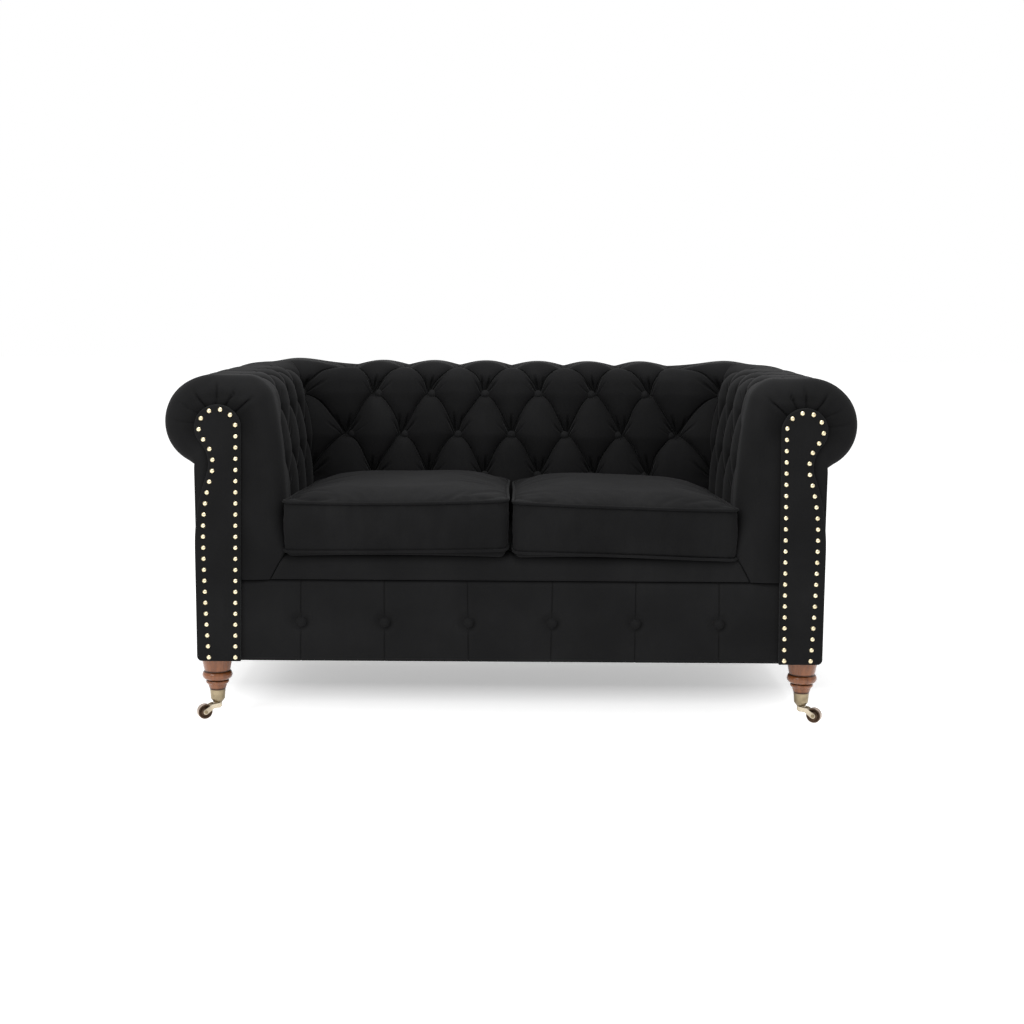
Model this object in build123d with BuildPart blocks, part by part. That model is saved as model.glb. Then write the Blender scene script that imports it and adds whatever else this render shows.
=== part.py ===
from build123d import *
import math
import os

# Overall size in millimetres: x across, y from front to back, z up from the floor
overall_width = 1560
overall_depth = 850
overall_height = 804
base_bottom = 145
border_top = 334
deck_top = 395

# Padding of the arms and the back
roll_radius = 104
inner_reach = 164
upright_height = 75
lean_radius = 1540
shoulder_radius = 63
pad_wall = 38
pad_depth = 64
pad_bottom = 350
front_pad = 30
front_round = 26
lip_slant = 33
panel_offset = 38
panel_thickness = 6
panel_tuck = 6

# Deep buttoning
tuft_pitch = 138.4
tuft_depth = 22
tuft_angle = 50
tuft_rise = 60
row_pitch = 107
upper_row_drop = 80
crest_turn = 10
back_tufts = 7
arm_tufts = 4
arm_first_tuft = -295
pleat_depth = 12
pleat_turn = 135
button_radius = 11
button_height = 7
button_edge = 2.5
button_seat_gap = 1

# Keyhole facing on each arm and its nails
facing_thickness = 14
facing_edge_round = 3
head_radius = 52
head_in = 19
head_drop = 20
neck_radius = 70
neck_out = 3
flank_radius = 500
facing_margin = 1
facing_slant = 1
nail_radius = 5.6
nail_height = 4
nail_inset = 11
nail_outer_inset = 20
nail_lean = 7.5
nail_pitch = 25.4
shank_radius = 1.1
shank_length = 12
shank_gap = 0.15

# Front border and its buttons
border_button_radius = 13
border_button_height = 9
border_button_edge = 3
border_button_pitch = 190.6
border_button_count = 6
border_button_level = 236
border_button_sink = 8
border_pleat_depth = 5
border_pleat_half = 9
border_round = 8
lip_depth = 35
lip_round = 14

# Seat cushions
cushion_overhang = 13
cushion_side_gap = 0.6
cushion_rest_gap = 0.3
cushion_corner = 24
cushion_draw = 3
low_seam = 409
high_seam = 511
piping_radius = 3.5
piping_gap = 0.3
cushion_bulge = 1
bottom_inset = 17
crown_edge_inset = 16
crown_edge_rise = 13
crown_shoulder_inset = 48
crown_shoulder_rise = 22.5
crown_middle_inset = 100
crown_middle_rise = 30
crown_top_inset = 160
crown_top_rise = 33

# Wooden frame
rail_thickness = 28
post_thickness = 22
block_depth = 77
block_height = 60
centre_rail_height = 80
top_rail_height = 30
batten_thickness = 26
tack_rail_thickness = 24
tack_rail_height = 45
rib_thickness = 18
rib_inner_place = 225
rib_outer_place = 525
frame_gap = 0.2

# Webbing, springs, cloths
webbing_thickness = 1.6
webbing_width = 50
webbing_inset = 3
arm_webs = 4
arm_web_pitch = 110
back_webs = 7
back_web_pitch = 150
wire_radius = 1.8
spring_count = 7
spring_pitch = 150
spring_bends = 14
spring_width = 70
spring_lift = 7.6
spring_inset = 11
clip_width = 15
clip_plate = 1.2
clip_length = 20
clip_gap = 0.1
cover_thickness = 1.6
cover_gap = 0.2
dust_thickness = 1.2

# Legs and castors
leg_side_inset = 30
leg_front_inset = 17
leg_top_radius = 36
leg_waist_radius = 29.5
leg_waist_level = 112
leg_bulb_radius = 34.5
leg_bulb_level = 103
leg_neck_radius = 23.5
leg_neck_level = 91
leg_ring_radius = 26.5
leg_ring_level = 86
leg_ankle_radius = 22.5
leg_ankle_level = 81
spigot_gap = 0.2
spigot_end_gap = 2
bolt_radius = 4
bolt_gap = 0.15
bolt_length = 85
bolt_in_leg = 42
bolt_end_room = 3
dust_hole_gap = 1
rear_leg_side_inset = 58
rear_leg_back_inset = 35
rear_leg_top = 48
rear_leg_foot = 34
glide_radius = 13
glide_thickness = 4
glide_pin_radius = 2.5
glide_pin_length = 16
cup_top = 67
cup_bottom = 36
cup_rim_radius = 18
cup_heel_radius = 16.2
cup_heel_level = 45
cup_sole_radius = 9.5
cup_wall = 2
cup_floor = 6
pin_radius = 4
pin_head_radius = 6.5
pin_head_height = 2.2
pin_gap = 0.06
swivel_gap = 0.3
fork_boss_radius = 9
fork_boss_height = 10
fork_trail = 32
fork_turn = 27
fork_arm_thickness = 3.5
fork_knee_place = 15
fork_knee_drop = 2.2
fork_arm_radius = 5
fork_eye_radius = 6
fork_throat = 11
wheel_radius = 17.5
wheel_width = 16
wheel_round = 3
wheel_dish_radius = 12.5
wheel_dish_depth = 2
wheel_side_gap = 0.6
wheel_hub_radius = 5
axle_radius = 2.5
axle_gap = 0.06
axle_head_radius = 4
axle_head_height = 1.2

# Places worked out from the sizes above
roll_x = overall_width / 2 - roll_radius
roll_y = overall_depth / 2 - roll_radius
roll_z = overall_height - roll_radius
lean_start = deck_top + upright_height
upper_row = overall_height - upper_row_drop
middle_row = upper_row - row_pitch
low_row = middle_row - row_pitch
facing_front = nail_height - overall_depth / 2
border_front = facing_front + facing_thickness
frame_front = border_front + front_pad
pad_inner = inner_reach - pad_depth
hollow_radius = roll_radius - pad_wall
post_radius = hollow_radius - frame_gap
panel_inner = panel_offset - panel_thickness
panel_top = roll_z - math.sqrt(hollow_radius**2 - panel_offset**2) - panel_tuck
frame_bottom = base_bottom + dust_thickness
block_top = frame_bottom + block_height
frame_side = roll_x + panel_inner
frame_back = roll_y + panel_inner
leg_x = frame_side - leg_side_inset
leg_y = frame_front + leg_front_inset
rear_leg_x = frame_side - rear_leg_side_inset
rear_leg_y = frame_back - rear_leg_back_inset
hollow_side = roll_x - pad_inner
seat_half = roll_x - inner_reach
seat_back = roll_y - inner_reach
rail_face = pad_inner - webbing_thickness
top_rail_bottom = roll_z + post_radius - top_rail_height
post_back = frame_front + post_thickness
curl_inner = wire_radius + clip_gap
curl_outer = curl_inner + clip_plate
cover_bottom = border_top + spring_lift + curl_outer + cover_gap
deck_bottom = cover_bottom + cover_thickness
lip_back = border_front + lip_depth
tuft_spread = math.tan(math.radians(tuft_angle))
arm_run = overall_depth
back_plane = Plane(origin=(0, roll_y, 0), x_dir=(0, 1, 0), z_dir=(1, 0, 0))
left_mitre = Plane(origin=(-roll_x, roll_y, 0), z_dir=(1, 1, 0))
right_mitre = Plane(origin=(roll_x, roll_y, 0), z_dir=(-1, 1, 0))
floor_up = (Align.CENTER, Align.CENTER, Align.MIN)
front_up = (Align.CENTER, Align.MIN, Align.MIN)

finished = []


def finish(builder, name):
    """Name a piece and keep it for export."""
    builder.part.label = name
    finished.append(builder)


def finish_pair(builder, name):
    """Keep the left-hand piece and make the right-hand one from it."""
    finish(builder, name + "_left")
    with BuildPart() as other:
        mirror(builder.part, about=Plane.YZ)
    finish(other, name + "_right")


def finish_group(builder, name):
    """Keep the left-hand pieces and their mirror images under one name."""
    with BuildPart() as group:
        add(builder.part)
        mirror(builder.part, about=Plane.YZ)
    finish(group, name)


def arm_plane(y):
    """Section plane of the left arm: its x points outwards, its y up."""
    return Plane(origin=(-roll_x, y, 0), x_dir=(-1, 0, 0), z_dir=(0, 1, 0))


# Sections shared by the arms and the back, measured outwards from the middle of the roll
def pad_section(bottom):
    lean = math.degrees(math.asin((overall_height - lean_start) / lean_radius))
    roll_end = math.degrees(math.acos(panel_offset / roll_radius))
    with BuildSketch() as section:
        with BuildLine():
            face = Line((-inner_reach, deck_top), (-inner_reach, lean_start))
            leaning = CenterArc((lean_radius - inner_reach, lean_start), lean_radius, 180, -lean)
            Line(leaning @ 1, (0, overall_height))
            roll = CenterArc((0, roll_z), roll_radius, 90, -90 - roll_end)
            foot = (lip_slant - inner_reach, border_top)
            Polyline(roll @ 1, (panel_offset, border_top), foot, face @ 0)
        make_face()
        shoulder = section.vertices().sort_by_distance(leaning @ 1)[0]
        fillet(shoulder, shoulder_radius)
        with Locations((0, bottom)):
            Rectangle(overall_width, overall_height, align=(Align.CENTER, Align.MIN), mode=Mode.INTERSECT)
    return section.sketch


def hollow_section(radius, outer, bottom):
    roll_end = math.degrees(math.acos(panel_offset / radius))
    with BuildSketch() as section:
        with BuildLine():
            roll = CenterArc((0, roll_z), radius, 90, -90 - roll_end)
            step = (outer, (roll @ 1).Y)
            heel = (-pad_inner, bottom)
            Polyline(roll @ 1, step, (outer, bottom), heel, (-pad_inner, roll_z + radius), roll @ 0)
        make_face()
    return section.sketch


def top_rail_section():
    turn = math.degrees(math.acos((top_rail_bottom - roll_z) / post_radius))
    with BuildSketch() as section:
        with BuildLine():
            edge = CenterArc((0, roll_z), post_radius, 90, -turn)
            heel = (-rail_face, top_rail_bottom)
            Polyline(edge @ 1, heel, (-rail_face, roll_z + post_radius), edge @ 0)
        make_face()
    return section.sketch


def batten_section():
    inner = post_radius - batten_thickness
    start = math.degrees(math.asin((top_rail_bottom - roll_z) / post_radius))
    end = math.degrees(math.acos(inner / post_radius))
    with BuildSketch() as section:
        with BuildLine():
            edge = CenterArc((0, roll_z), post_radius, start, -start - end)
            Polyline(edge @ 1, (inner, top_rail_bottom), edge @ 0)
        make_face()
    return section.sketch


def tack_rail_section():
    with BuildSketch() as section:
        with Locations((-rail_face, pad_bottom)):
            Rectangle(tack_rail_thickness, tack_rail_height, align=Align.MIN)
    return section.sketch


# Buttoning: where each tuft sits, and the creases between tufts
def face_tuft(level):
    tilt = math.asin(max(level - lean_start, 0) / lean_radius)
    out = lean_radius - inner_reach - lean_radius * math.cos(tilt)
    return out, level, -math.cos(tilt), math.sin(tilt)


def crest_tuft():
    level = overall_height - shoulder_radius
    reach = math.sqrt((lean_radius - shoulder_radius) ** 2 - (level - lean_start) ** 2)
    middle = lean_radius - inner_reach - reach
    turn = math.radians(crest_turn)
    side = math.sin(turn)
    up = math.cos(turn)
    return middle - shoulder_radius * side, level + shoulder_radius * up, -side, up


tuft_rows = [face_tuft(low_row), face_tuft(middle_row), face_tuft(upper_row), crest_tuft()]
pleat_row = (0, overall_height, 0, 1)


def seat_plane(side, row, along, depth):
    """Plane at the bottom of a tuft, its z pointing out of the padding."""
    out, level, lean_out, lean_up = row
    place = side.from_local_coords(Vector(out - depth * lean_out, level - depth * lean_up, along))
    way = side.from_local_coords(Vector(lean_out, lean_up, 0)) - side.origin
    return Plane(origin=place, x_dir=side.z_dir, z_dir=way)


def corner_seat():
    """The tuft in the corner between the left arm and the back."""
    out, level, lean_out, lean_up = tuft_rows[2]
    way = Vector(1, -1, lean_up).normalized()
    return Plane(origin=Vector(-roll_x - out, roll_y + out, level) - way * tuft_depth, z_dir=way)


def crease_plane(start, end):
    way = end.origin - start.origin
    return Plane(origin=start.origin, x_dir=(start.z_dir + end.z_dir).cross(way), z_dir=way)


def crease_section():
    with BuildSketch() as section:
        half = tuft_rise * tuft_spread
        Polygon((0, 0), (half, tuft_rise), (-half, tuft_rise), align=None)
    return section.sketch


def crease_bars(pairs):
    """One three-sided bar for each pair of neighbouring tufts."""
    bars = []
    for start, end in pairs:
        with BuildPart() as bar:
            with BuildSketch(crease_plane(start, end)):
                add(crease_section())
            extrude(amount=(end.origin - start.origin).length)
        bars.append(bar.part)
    return bars


def tuft_grid(side, even_places, odd_places):
    """Seats of the four rows; rows one and three sit between rows zero and two."""
    places = [odd_places, even_places, odd_places, even_places]
    grid = []
    for row, line in zip(tuft_rows, places):
        grid.append([seat_plane(side, row, place, tuft_depth) for place in line])
    return grid


def grid_creases(grid):
    """Neighbours in successive rows are half a pitch apart along the pad."""
    pairs = []
    for lower, upper in zip(grid, grid[1:]):
        for start in lower:
            for end in upper:
                shift = (end.origin - start.origin).dot(start.x_dir)
                if abs(shift) < tuft_pitch:
                    pairs.append((start, end))
    return pairs


even_back = [(index - (back_tufts - 1) / 2) * tuft_pitch for index in range(back_tufts)]
odd_back = [place + tuft_pitch / 2 for place in even_back[:-1]]
even_arm = [arm_first_tuft + index * tuft_pitch for index in range(arm_tufts)]
odd_arm = [place + tuft_pitch / 2 for place in even_arm[:-1]]
arm_side = arm_plane(0)
arm_grid = tuft_grid(arm_side, even_arm, odd_arm)
back_grid = tuft_grid(back_plane, even_back, odd_back)
left_corner = corner_seat()
right_corner = Plane(
    origin=(-left_corner.origin.X, left_corner.origin.Y, left_corner.origin.Z),
    z_dir=(-left_corner.z_dir.X, left_corner.z_dir.Y, left_corner.z_dir.Z),
)
arm_seats = [seat for row in arm_grid for seat in row]
back_seats = [seat for row in back_grid for seat in row] + [left_corner, right_corner]

arm_creases = grid_creases(arm_grid)
arm_creases += [(arm_grid[1][-1], left_corner), (left_corner, arm_grid[3][-1])]
for place, seat in zip(even_arm, arm_grid[3]):
    arm_creases.append((seat, seat_plane(arm_side, pleat_row, place, pleat_depth)))
back_creases = grid_creases(back_grid)
back_creases += [(back_grid[1][0], left_corner), (left_corner, back_grid[3][0])]
back_creases += [(back_grid[1][-1], right_corner), (right_corner, back_grid[3][-1])]
for place, seat in zip(even_back, back_grid[3]):
    back_creases.append((seat, seat_plane(back_plane, pleat_row, place, pleat_depth)))

seat_radius = button_radius + button_seat_gap
pleat_bottom = roll_z + roll_radius - pleat_depth
pleat_half = tuft_rise * tuft_spread


def is_rounded(edge):
    """True for the front edges above the deck, but not for the one along the outside panel."""
    beside_panel = abs(edge.center().X + roll_x + panel_offset) < panel_thickness
    return edge.center().Z > deck_top and not beside_panel


# Arm padding: inner face, roll and plain front
with BuildPart() as arm_pad:
    with BuildSketch(arm_plane(border_front)):
        add(pad_section(border_top))
    extrude(amount=arm_run)
    fillet(arm_pad.faces().sort_by(Axis.Y)[0].edges().filter_by(is_rounded), front_round)
    with BuildSketch(arm_plane(frame_front)):
        add(hollow_section(hollow_radius, panel_offset, base_bottom))
        with Locations((0, base_bottom)):
            Rectangle(overall_width, pad_bottom - base_bottom, align=(Align.CENTER, Align.MIN))
    extrude(amount=arm_run, mode=Mode.SUBTRACT)
    split(bisect_by=left_mitre, keep=Keep.BOTTOM)
    with BuildSketch(Plane.YZ.offset(-roll_x)):
        with Locations(*[(place, pleat_bottom) for place in even_arm]):
            Polygon((0, 0), (pleat_half, tuft_rise), (-pleat_half, tuft_rise), align=None)
    revolve(axis=Axis((-roll_x, 0, roll_z), (0, -1, 0)), revolution_arc=pleat_turn, mode=Mode.SUBTRACT)
    add(crease_bars(arm_creases), mode=Mode.SUBTRACT)
    with Locations(*arm_seats, left_corner):
        Cylinder(seat_radius, tuft_rise, align=floor_up, mode=Mode.SUBTRACT)
finish_pair(arm_pad, "arm_pad")

# Back padding, mitred into both arms
with BuildPart() as back_pad:
    with BuildSketch(back_plane):
        add(pad_section(pad_bottom))
        add(hollow_section(hollow_radius, panel_offset, base_bottom), mode=Mode.SUBTRACT)
    extrude(amount=overall_width / 2, both=True)
    split(bisect_by=left_mitre, keep=Keep.TOP)
    split(bisect_by=right_mitre, keep=Keep.TOP)
    with BuildSketch(Plane.XZ.offset(-roll_y)):
        with Locations(*[(place, pleat_bottom) for place in even_back]):
            Polygon((0, 0), (pleat_half, tuft_rise), (-pleat_half, tuft_rise), align=None)
    revolve(axis=Axis((0, roll_y, roll_z), (-1, 0, 0)), revolution_arc=pleat_turn, mode=Mode.SUBTRACT)
    add(crease_bars(back_creases), mode=Mode.SUBTRACT)
    with Locations(*back_seats):
        Cylinder(seat_radius, tuft_rise, align=floor_up, mode=Mode.SUBTRACT)
finish(back_pad, "back_pad")


# Covered buttons
def domed_button(radius, height, edge):
    with BuildPart() as button:
        with BuildSketch(Plane.XZ):
            with BuildLine():
                dome = TangentArc((0, height), (radius, edge), tangent=(1, 0))
                Polyline(dome @ 1, (radius, 0), (0, 0), dome @ 0)
            make_face()
        revolve(axis=Axis.Z)
    return button.part


with BuildPart() as arm_buttons:
    with Locations(*arm_seats):
        add(domed_button(button_radius, button_height, button_edge))
finish_pair(arm_buttons, "arm_buttons")

with BuildPart() as back_buttons:
    with Locations(*back_seats):
        add(domed_button(button_radius, button_height, button_edge))
finish(back_buttons, "back_buttons")

# Keyhole facing: inner edge, head, neck, flank and outer edge run into one another
head = (-head_in, roll_z - head_drop)
side_out = panel_offset - facing_margin
neck_x = neck_out + neck_radius
neck_fall = math.sqrt((head_radius + neck_radius) ** 2 - (neck_x + head_in) ** 2)
neck = (neck_x, head[1] - neck_fall)
flank_x = side_out - flank_radius


def facing_edge(inset, outer_inset):
    """Edge of the facing from its inner foot to its outer side, or a line kept inside it by the insets."""
    slant = math.radians(facing_slant)
    radius = head_radius - inset
    neck_bend = neck_radius + inset
    flank_bend = flank_radius - outer_inset
    flank_fall = math.sqrt((neck_bend + flank_bend) ** 2 - (neck_x - flank_x) ** 2)
    top = (head[0] - radius * math.cos(slant), head[1] - radius * math.sin(slant))
    low = base_bottom + inset
    bottom = (top[0] + (top[1] - low) * math.tan(slant), low)
    to_neck = math.degrees(math.atan2(neck[1] - head[1], neck[0] - head[0]))
    to_flank = math.degrees(math.atan2(flank_fall, neck_x - flank_x))
    with BuildLine() as edge:
        Line(bottom, top)
        CenterArc(head, radius, 180 + facing_slant, to_neck - 180 - facing_slant)
        CenterArc(neck, neck_bend, to_neck + 180, to_flank - to_neck)
        CenterArc((flank_x, neck[1] - flank_fall), flank_bend, to_flank, -to_flank)
    return edge.wire()


# The nails stand further in on the outer side and lean inwards at the foot
nail_foot = (side_out - nail_outer_inset - nail_lean, base_bottom + nail_inset)
upper_row = facing_edge(nail_inset, nail_outer_inset)
with BuildLine() as nail_row:
    add(upper_row)
    TangentArc(upper_row @ 1, nail_foot, tangent=(0, -1))
nail_line = nail_row.wire()
nail_steps = round(nail_line.length / nail_pitch)
nail_places = [nail_line @ (step / nail_steps) for step in range(nail_steps + 1)]
nail_seats = [
    Plane(origin=(-roll_x - place.X, facing_front, place.Y), x_dir=(1, 0, 0), z_dir=(0, -1, 0))
    for place in nail_places
]

with BuildPart() as arm_facing:
    with BuildSketch(arm_plane(facing_front)):
        with BuildLine():
            outline = facing_edge(0, 0)
            add(outline)
            Polyline(outline @ 1, (side_out, base_bottom), outline @ 0)
        make_face()
    extrude(amount=facing_thickness)
    fillet(arm_facing.faces().sort_by(Axis.Y)[0].edges(), facing_edge_round)
    with Locations(*nail_seats):
        Cylinder(shank_radius + shank_gap, 2 * (shank_length + shank_gap), mode=Mode.SUBTRACT)
finish_pair(arm_facing, "arm_facing")

with BuildPart() as nail:
    with BuildSketch(Plane.XZ):
        with BuildLine():
            dome = TangentArc((0, nail_height), (nail_radius, 0), tangent=(1, 0))
            Polyline(dome @ 1, (shank_radius, 0), (shank_radius, -shank_length), (0, -shank_length), dome @ 0)
        make_face()
    revolve(axis=Axis.Z)

with BuildPart() as facing_nails:
    with Locations(*nail_seats):
        add(nail.part)
finish_pair(facing_nails, "facing_nails")

# Front border with upright pleats, the lip above it and the border buttons
border_places = [
    (index - (border_button_count - 1) / 2) * border_button_pitch for index in range(border_button_count)
]
border_seat_y = border_front + border_button_sink
border_seats = [
    Plane(origin=(place, border_seat_y, border_button_level), x_dir=(1, 0, 0), z_dir=(0, -1, 0))
    for place in border_places
]
with BuildPart() as front_border:
    with Locations((0, border_front, base_bottom)):
        Box(2 * (roll_x + panel_offset), front_pad, border_top - base_bottom, align=front_up)
    low_edge = front_border.edges().filter_by(Axis.X).group_by(Axis.Z)[0].sort_by(Axis.Y)[0]
    fillet(low_edge, border_round)
    with BuildSketch(Plane.XY.offset(base_bottom)):
        with Locations(*[(place, border_front) for place in border_places]):
            half = border_pleat_half
            Polygon((-half, 0), (half, 0), (0, border_pleat_depth), align=None)
    extrude(amount=border_top - base_bottom, mode=Mode.SUBTRACT)
    with Locations(*border_seats):
        Cone(
            border_button_radius + button_seat_gap,
            border_button_radius + button_seat_gap + border_button_sink,
            border_button_sink,
            align=floor_up,
            mode=Mode.SUBTRACT,
        )
finish(front_border, "front_border")

with BuildPart() as border_buttons:
    with Locations(*border_seats):
        add(domed_button(border_button_radius, border_button_height, border_button_edge))
finish(border_buttons, "border_buttons")

with BuildPart() as seat_lip:
    with BuildSketch(Plane.XZ.offset(-border_front)):
        top_half = seat_half - cushion_side_gap
        low_half = top_half + lip_slant
        Polygon(
            (-low_half, border_top),
            (low_half, border_top),
            (top_half, deck_top),
            (-top_half, deck_top),
            align=None,
        )
    extrude(amount=-lip_depth)
    lip_edge = seat_lip.edges().filter_by(Axis.X).group_by(Axis.Z)[-1].sort_by(Axis.Y)[0]
    fillet(lip_edge, lip_round)
finish(seat_lip, "seat_lip")

# Outside panels and the cloth under the base
with BuildPart() as outside_arm_panel:
    with Locations((-roll_x - panel_offset, frame_front, base_bottom)):
        Box(panel_thickness, roll_y + panel_offset - frame_front, panel_top - base_bottom, align=Align.MIN)
finish_pair(outside_arm_panel, "outside_arm_panel")

with BuildPart() as outside_back_panel:
    with Locations((0, frame_back, base_bottom)):
        Box(2 * frame_side, panel_thickness, panel_top - base_bottom, align=front_up)
finish(outside_back_panel, "outside_back_panel")

leg_places = [(-leg_x, leg_y), (leg_x, leg_y), (-rear_leg_x, rear_leg_y), (rear_leg_x, rear_leg_y)]
with BuildPart() as dust_cover:
    with Locations((0, frame_front, base_bottom)):
        Box(2 * frame_side, frame_back - frame_front, dust_thickness, align=front_up)
    with Locations(*[(x, y, base_bottom) for x, y in leg_places]):
        Cylinder(bolt_radius + dust_hole_gap, dust_thickness, align=floor_up, mode=Mode.SUBTRACT)
finish(dust_cover, "dust_cover")

# Base frame
rail_height = border_top - frame_bottom
bolt_bottom = base_bottom - bolt_in_leg
bolt_top = bolt_bottom + bolt_length
with BuildPart() as leg_blocks:
    for way in (-1, 1):
        block_x = way * (hollow_side + frame_side) / 2
        rear_block_y = frame_back - block_depth
        with Locations((block_x, frame_front, frame_bottom), (block_x, rear_block_y, frame_bottom)):
            Box(frame_side - hollow_side, block_depth, block_height, align=front_up)
    with Locations(*[(x, y, frame_bottom) for x, y in leg_places]):
        Cylinder(
            bolt_radius + bolt_gap,
            bolt_top + bolt_end_room - frame_bottom,
            align=floor_up,
            mode=Mode.SUBTRACT,
        )
finish(leg_blocks, "leg_blocks")

with BuildPart() as front_rail:
    with Locations((0, frame_front, frame_bottom)):
        Box(2 * hollow_side, rail_thickness, rail_height, align=front_up)
finish(front_rail, "front_rail")

with BuildPart() as back_rail:
    with Locations((0, frame_back - rail_thickness, frame_bottom)):
        Box(2 * hollow_side, rail_thickness, rail_height, align=front_up)
finish(back_rail, "back_rail")

with BuildPart() as side_rail:
    with Locations((-frame_side, frame_front + block_depth, frame_bottom)):
        Box(rail_thickness, frame_back - frame_front - 2 * block_depth, rail_height, align=Align.MIN)
finish_pair(side_rail, "side_rail")

with BuildPart() as centre_rail:
    with Locations((0, frame_front + rail_thickness, frame_bottom)):
        Box(rail_thickness, frame_back - frame_front - 2 * rail_thickness, centre_rail_height, align=front_up)
finish(centre_rail, "centre_rail")

# Arm and back frames
with BuildPart() as arm_post:
    with BuildSketch(arm_plane(frame_front)):
        add(hollow_section(post_radius, panel_inner, block_top))
    extrude(amount=post_thickness)
finish_pair(arm_post, "arm_post")

arm_rails = {
    "arm_top_rail": top_rail_section(),
    "arm_roll_batten": batten_section(),
    "arm_tack_rail": tack_rail_section(),
}
for name, section in arm_rails.items():
    with BuildPart() as arm_rail:
        with BuildSketch(arm_plane(post_back)):
            add(section)
        extrude(amount=arm_run)
        split(bisect_by=left_mitre, keep=Keep.BOTTOM)
    finish_pair(arm_rail, name)

back_rails = {
    "back_top_rail": top_rail_section(),
    "back_roll_batten": batten_section(),
    "back_tack_rail": tack_rail_section(),
}
for name, section in back_rails.items():
    with BuildPart() as long_rail:
        with BuildSketch(back_plane):
            add(section)
        extrude(amount=overall_width / 2, both=True)
        split(bisect_by=left_mitre, keep=Keep.TOP)
        split(bisect_by=right_mitre, keep=Keep.TOP)
    finish(long_rail, name)

rib_front = roll_y - rail_face + tack_rail_thickness
rib_places = [-rib_outer_place, -rib_inner_place, rib_inner_place, rib_outer_place]
with BuildPart() as back_ribs:
    with Locations(*[(place, rib_front, border_top) for place in rib_places]):
        Box(rib_thickness, frame_back - rib_front, top_rail_bottom - border_top, align=front_up)
finish(back_ribs, "back_ribs")

# Webbing behind the padding
web_bottom = pad_bottom + webbing_inset
web_height = roll_z + post_radius - webbing_inset - web_bottom
arm_web_middle = (post_back + roll_y - pad_inner) / 2
with BuildPart() as arm_webbing:
    with Locations((-hollow_side - webbing_thickness / 2, arm_web_middle, web_bottom)):
        with GridLocations(0, arm_web_pitch, 1, arm_webs):
            Box(webbing_thickness, webbing_width, web_height, align=floor_up)
finish_group(arm_webbing, "arm_webbing")

with BuildPart() as back_webbing:
    with Locations((0, roll_y - pad_inner + webbing_thickness / 2, web_bottom)):
        with GridLocations(back_web_pitch, 0, back_webs, 1):
            Box(webbing_width, webbing_thickness, web_height, align=floor_up)
finish(back_webbing, "back_webbing")

# Zigzag seat springs: one wire each, hooked into a clip on the front and back rail
spring_level = border_top + spring_lift
spring_front = frame_front + rail_thickness - spring_inset
spring_end = frame_back - rail_thickness + spring_inset
bend_pitch = (spring_end - spring_front) / spring_bends
bend_radius = bend_pitch / 2
run_half = spring_width / 2 - bend_radius
with BuildPart() as spring:
    with BuildLine() as spring_wire:
        for bend in range(spring_bends):
            way = 1 if bend % 2 == 0 else -1
            level = spring_front + bend * bend_pitch
            Line((-way * run_half, level), (way * run_half, level))
            tip = (way * (run_half + bend_radius), level + bend_radius)
            ThreePointArc((way * run_half, level), tip, (way * run_half, level + bend_pitch))
        last = 1 if spring_bends % 2 == 0 else -1
        Line((-last * run_half, spring_end), (last * run_half, spring_end))
    with BuildSketch(Plane(origin=spring_wire.wire() @ 0, z_dir=spring_wire.wire() % 0)):
        Circle(wire_radius)
    sweep()

with BuildPart() as seat_springs:
    with Locations((0, 0, spring_level)):
        with GridLocations(spring_pitch, 0, spring_count, 1):
            add(spring.part)
finish(seat_springs, "seat_springs")

with BuildPart() as clip:
    with BuildSketch(Plane.YZ):
        with Locations((0, spring_lift)):
            Circle(curl_outer)
            Circle(curl_inner, mode=Mode.SUBTRACT)
        with Locations((curl_outer, spring_lift)):
            Rectangle(curl_outer, curl_outer, align=(Align.MAX, Align.MAX), mode=Mode.SUBTRACT)
        with Locations((-curl_outer, 0)):
            Rectangle(clip_plate, spring_lift, align=Align.MIN)
        with Locations((-curl_outer, 0)):
            Rectangle(clip_length / 2, clip_plate, align=Align.MIN)
    extrude(amount=clip_width / 2, both=True)

with BuildPart() as spring_clips:
    with Locations((0, spring_front, border_top)):
        with GridLocations(spring_pitch, 0, spring_count, 1):
            add(clip.part)
    with Locations((0, spring_end, border_top)):
        with GridLocations(spring_pitch, 0, spring_count, 1):
            add(clip.part, rotation=(0, 0, 180))
finish(spring_clips, "spring_clips")

deck_half = seat_half - cushion_side_gap
with BuildPart() as spring_cover:
    with Locations((0, lip_back, cover_bottom)):
        Box(2 * deck_half, roll_y - pad_inner - lip_back, cover_thickness, align=front_up)
finish(spring_cover, "spring_cover")

with BuildPart() as deck_pad:
    with Locations((0, lip_back, deck_bottom)):
        Box(2 * deck_half, seat_back - cushion_side_gap - lip_back, deck_top - deck_bottom, align=front_up)
finish(deck_pad, "deck_pad")

# Loose seat cushions: sides drawn in at the seams, crowned tops, piping along both seams
cushion_width = seat_half - cushion_side_gap - cushion_side_gap / 2
cushion_front = border_front - cushion_overhang
cushion_depth = seat_back - cushion_side_gap - cushion_front
cushion_middle = (-cushion_side_gap / 2 - cushion_width / 2, cushion_front + cushion_depth / 2)
cushion_bottom = deck_top + cushion_rest_gap
side_middle = (low_seam + high_seam) / 2
crown_levels = [
    (cushion_bottom, bottom_inset),
    (low_seam, piping_radius),
    (side_middle, cushion_bulge),
    (high_seam, piping_radius),
    (high_seam + crown_edge_rise, crown_edge_inset),
    (high_seam + crown_shoulder_rise, crown_shoulder_inset),
    (high_seam + crown_middle_rise, crown_middle_inset),
    (high_seam + crown_top_rise, crown_top_inset),
]


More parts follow.
